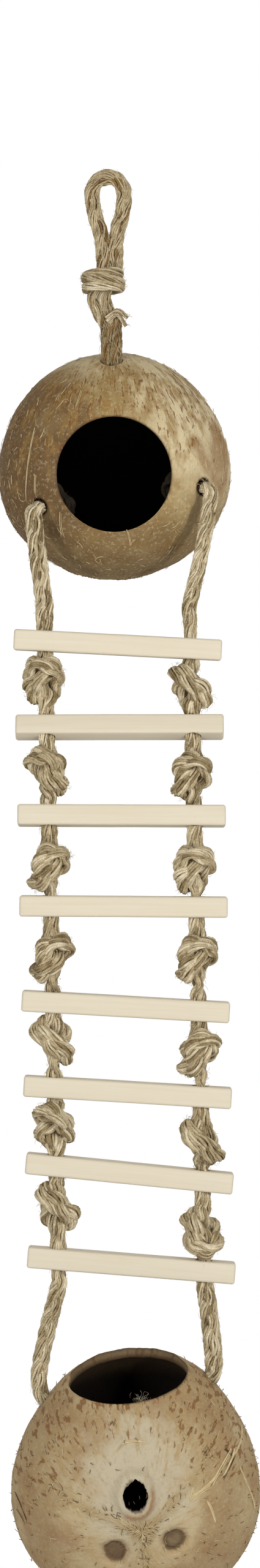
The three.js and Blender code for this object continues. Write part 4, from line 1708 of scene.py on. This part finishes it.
def bare_stick(index):
    """A stick with soft, slightly uneven sides along X at the origin, with its grain mapped."""
    bm = bmesh.new()
    bmesh.ops.create_cube(bm, size=1)
    bmesh.ops.scale(bm, vec=Vector((RUNG_LENGTH, RUNG_SIDE, RUNG_SIDE)), verts=bm.verts)
    bmesh.ops.bevel(
        bm,
        geom=bm.edges[:],
        offset=RUNG_EDGE,
        segments=RUNG_EDGE_STEPS,
        profile=0.5,
        affect="EDGES",
        material=-1,
    )
    lengthways = [e for e in bm.edges if abs(e.verts[0].co.x - e.verts[1].co.x) > RUNG_LENGTH / 2]
    bmesh.ops.subdivide_edges(bm, edges=lengthways, cuts=RUNG_PARTS, use_grid_fill=True)
    lay = bm.loops.layers.uv.new("grain")
    for face in bm.faces:
        for loop in face.loops:
            place = loop.vert.co
            loop[lay].uv = (place.x + index, place.y + 1.7 * place.z + 0.1 * index)
    for vertex in bm.verts:
        wave = noise.noise(vertex.co * RUNG_WAVES_PER_METRE + Vector((index * 5, 0, 0)))
        vertex.co += vertex.co.normalized() * RUNG_WAVE * wave
    return bm


def wooden_rung(index):
    """A planed stick as the frame's rung lies, drilled for its two ropes."""
    node = f"rung_{index}"
    bm = bare_stick(index)
    turn = lean_about("Y", rung_tilt(node)) @ lean_about("X", RUNG_ROLL[index - 1])
    middle = Vector((0, ladder_y, middle_of(node).z))
    bmesh.ops.transform(bm, matrix=Matrix.Translation(middle) @ turn.to_4x4(), verts=bm.verts)
    maker = mesh_object(f"stick_{index}_maker", bm)
    bits = []
    for side in SIDES:
        at = rope_axis(side) + UP * middle.z
        bits.append(drill_bit(at, hole_way(index), ROPE_HOLE / 2, 4 * RUNG_SIDE))
    piece = cut_piece(maker, f"stick_{index}", bits)
    piece.data.set_sharp_from_angle(angle=math.radians(RUNG_SHARP))
    piece.data.materials.append(POPLAR)
    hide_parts(node)
    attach(piece, node)


def white_floor():
    """A white floor that shows as plain white and keeps its own light off the object."""
    bm = bmesh.new()
    bmesh.ops.create_grid(bm, x_segments=1, y_segments=1, size=FLOOR_REACH)
    bmesh.ops.translate(bm, vec=Vector((0, 0, cad_box[0][2] - FLOOR_DROP)), verts=bm.verts)
    floor = mesh_object("floor", bm)
    white = bpy.data.materials.new("white_paper")
    white.use_nodes = True
    tree = white.node_tree
    shader = tree.nodes["Principled BSDF"]
    shader.inputs["Base Color"].default_value = (PAPER_GREY, PAPER_GREY, PAPER_GREY, 1)
    shader.inputs["Roughness"].default_value = 0.9
    seen = add_node(tree, "ShaderNodeLightPath").outputs["Is Camera Ray"]
    paper = add_node(tree, "ShaderNodeEmission")
    both = add_node(
        tree,
        "ShaderNodeMixShader",
        links={0: seen, 1: shader.outputs["BSDF"], 2: paper.outputs["Emission"]},
    )
    tree.links.new(both.outputs["Shader"], tree.nodes["Material Output"].inputs["Surface"])
    floor.data.materials.append(white)


def soft_world():
    """Soft light from all round, strongest from the white paper behind the object."""
    world = bpy.data.worlds.new("studio")
    bpy.context.scene.world = world
    world.use_nodes = True
    tree = world.node_tree
    tree.nodes.clear()
    output = add_node(tree, "ShaderNodeOutputWorld")
    seen = add_node(tree, "ShaderNodeLightPath").outputs["Is Camera Ray"]
    white = {"Color": (1, 1, 1, 1)}
    way = add_node(tree, "ShaderNodeTexCoord").outputs["Generated"]
    split = add_node(tree, "ShaderNodeSeparateXYZ", links={"Vector": way})
    wrap = add_node(
        tree,
        "ShaderNodeMapRange",
        values={"From Min": 0, "From Max": 1, "To Min": FRONT_LIGHT, "To Max": BACK_LIGHT},
        links={"Value": split.outputs["Y"]},
    )
    soft = add_node(
        tree,
        "ShaderNodeBackground",
        values=white,
        links={"Strength": wrap.outputs["Result"]},
    )
    paper = add_node(tree, "ShaderNodeBackground", values={**white, "Strength": 1.0})
    both = add_node(
        tree,
        "ShaderNodeMixShader",
        links={0: seen, 1: soft.outputs["Background"], 2: paper.outputs["Background"]},
    )
    tree.links.new(both.outputs["Shader"], output.inputs["Surface"])


def strip_lamps():
    """Two tall soft boxes, one at each side of the camera and above the object's middle."""
    for side in SIDES:
        name = f"{side}_box"
        light = bpy.data.lights.new(name, "AREA")
        light.shape = "RECTANGLE"
        light.size = LAMP_WIDE
        light.size_y = LAMP_TALL
        light.energy = LAMP_POWER[side]
        lamp = bpy.data.objects.new(name, light)
        lamp.location = (sign_of(side) * LAMP_ASIDE, -LAMP_FORWARD, 0)
        aim = VIEW_CENTRE - lamp.location
        lamp.rotation_euler = aim.to_track_quat("-Z", "Y").to_euler()
        bpy.context.collection.objects.link(lamp)


def photo_camera():
    """The photograph's view, level and a little rolled."""
    lens = bpy.data.cameras.new("camera")
    lens.sensor_fit = "VERTICAL"
    lens.sensor_height = SENSOR
    lens.lens = SENSOR * VIEW_DISTANCE / VIEW_HEIGHT
    camera = bpy.data.objects.new("camera", lens)
    camera.location = VIEW_CENTRE - Vector((0, VIEW_DISTANCE, 0))
    upright = Matrix.Rotation(math.pi / 2, 4, "X")
    roll = Matrix.Rotation(math.radians(VIEW_ROLL), 4, "Z")
    camera.rotation_euler = (upright @ roll).to_euler()
    bpy.context.collection.objects.link(camera)
    bpy.context.scene.camera = camera


photo_camera()
hang_loop()
hang_knot()
hang_stem()
coconut_house()
coconut_cup()
stem_end = Vector((0, 0, bottom_of("hanging_stem") - SEAT_GAP))
end_knot("hang_end", "house_hanging_knot", "house", stem_end, UP, 0)
for rung in range(1, RUNG_COUNT + 1):
    wooden_rung(rung)
for side in SIDES:
    house_rope(side)
    for bay in range(1, RUNG_COUNT):
        bay_rope(side, bay)
    cup_rope(side)
    end_knot(f"house_end_{side}", f"house_end_knot_{side}", "house", *house_hole(side), HOUSE_NECK)
    end_knot(f"cup_end_{side}", f"cup_end_knot_{side}", "cup", *cup_hole(side), CUP_NECK)
white_floor()
soft_world()
strip_lamps()
bpy.context.scene.view_settings.view_transform = "Standard"
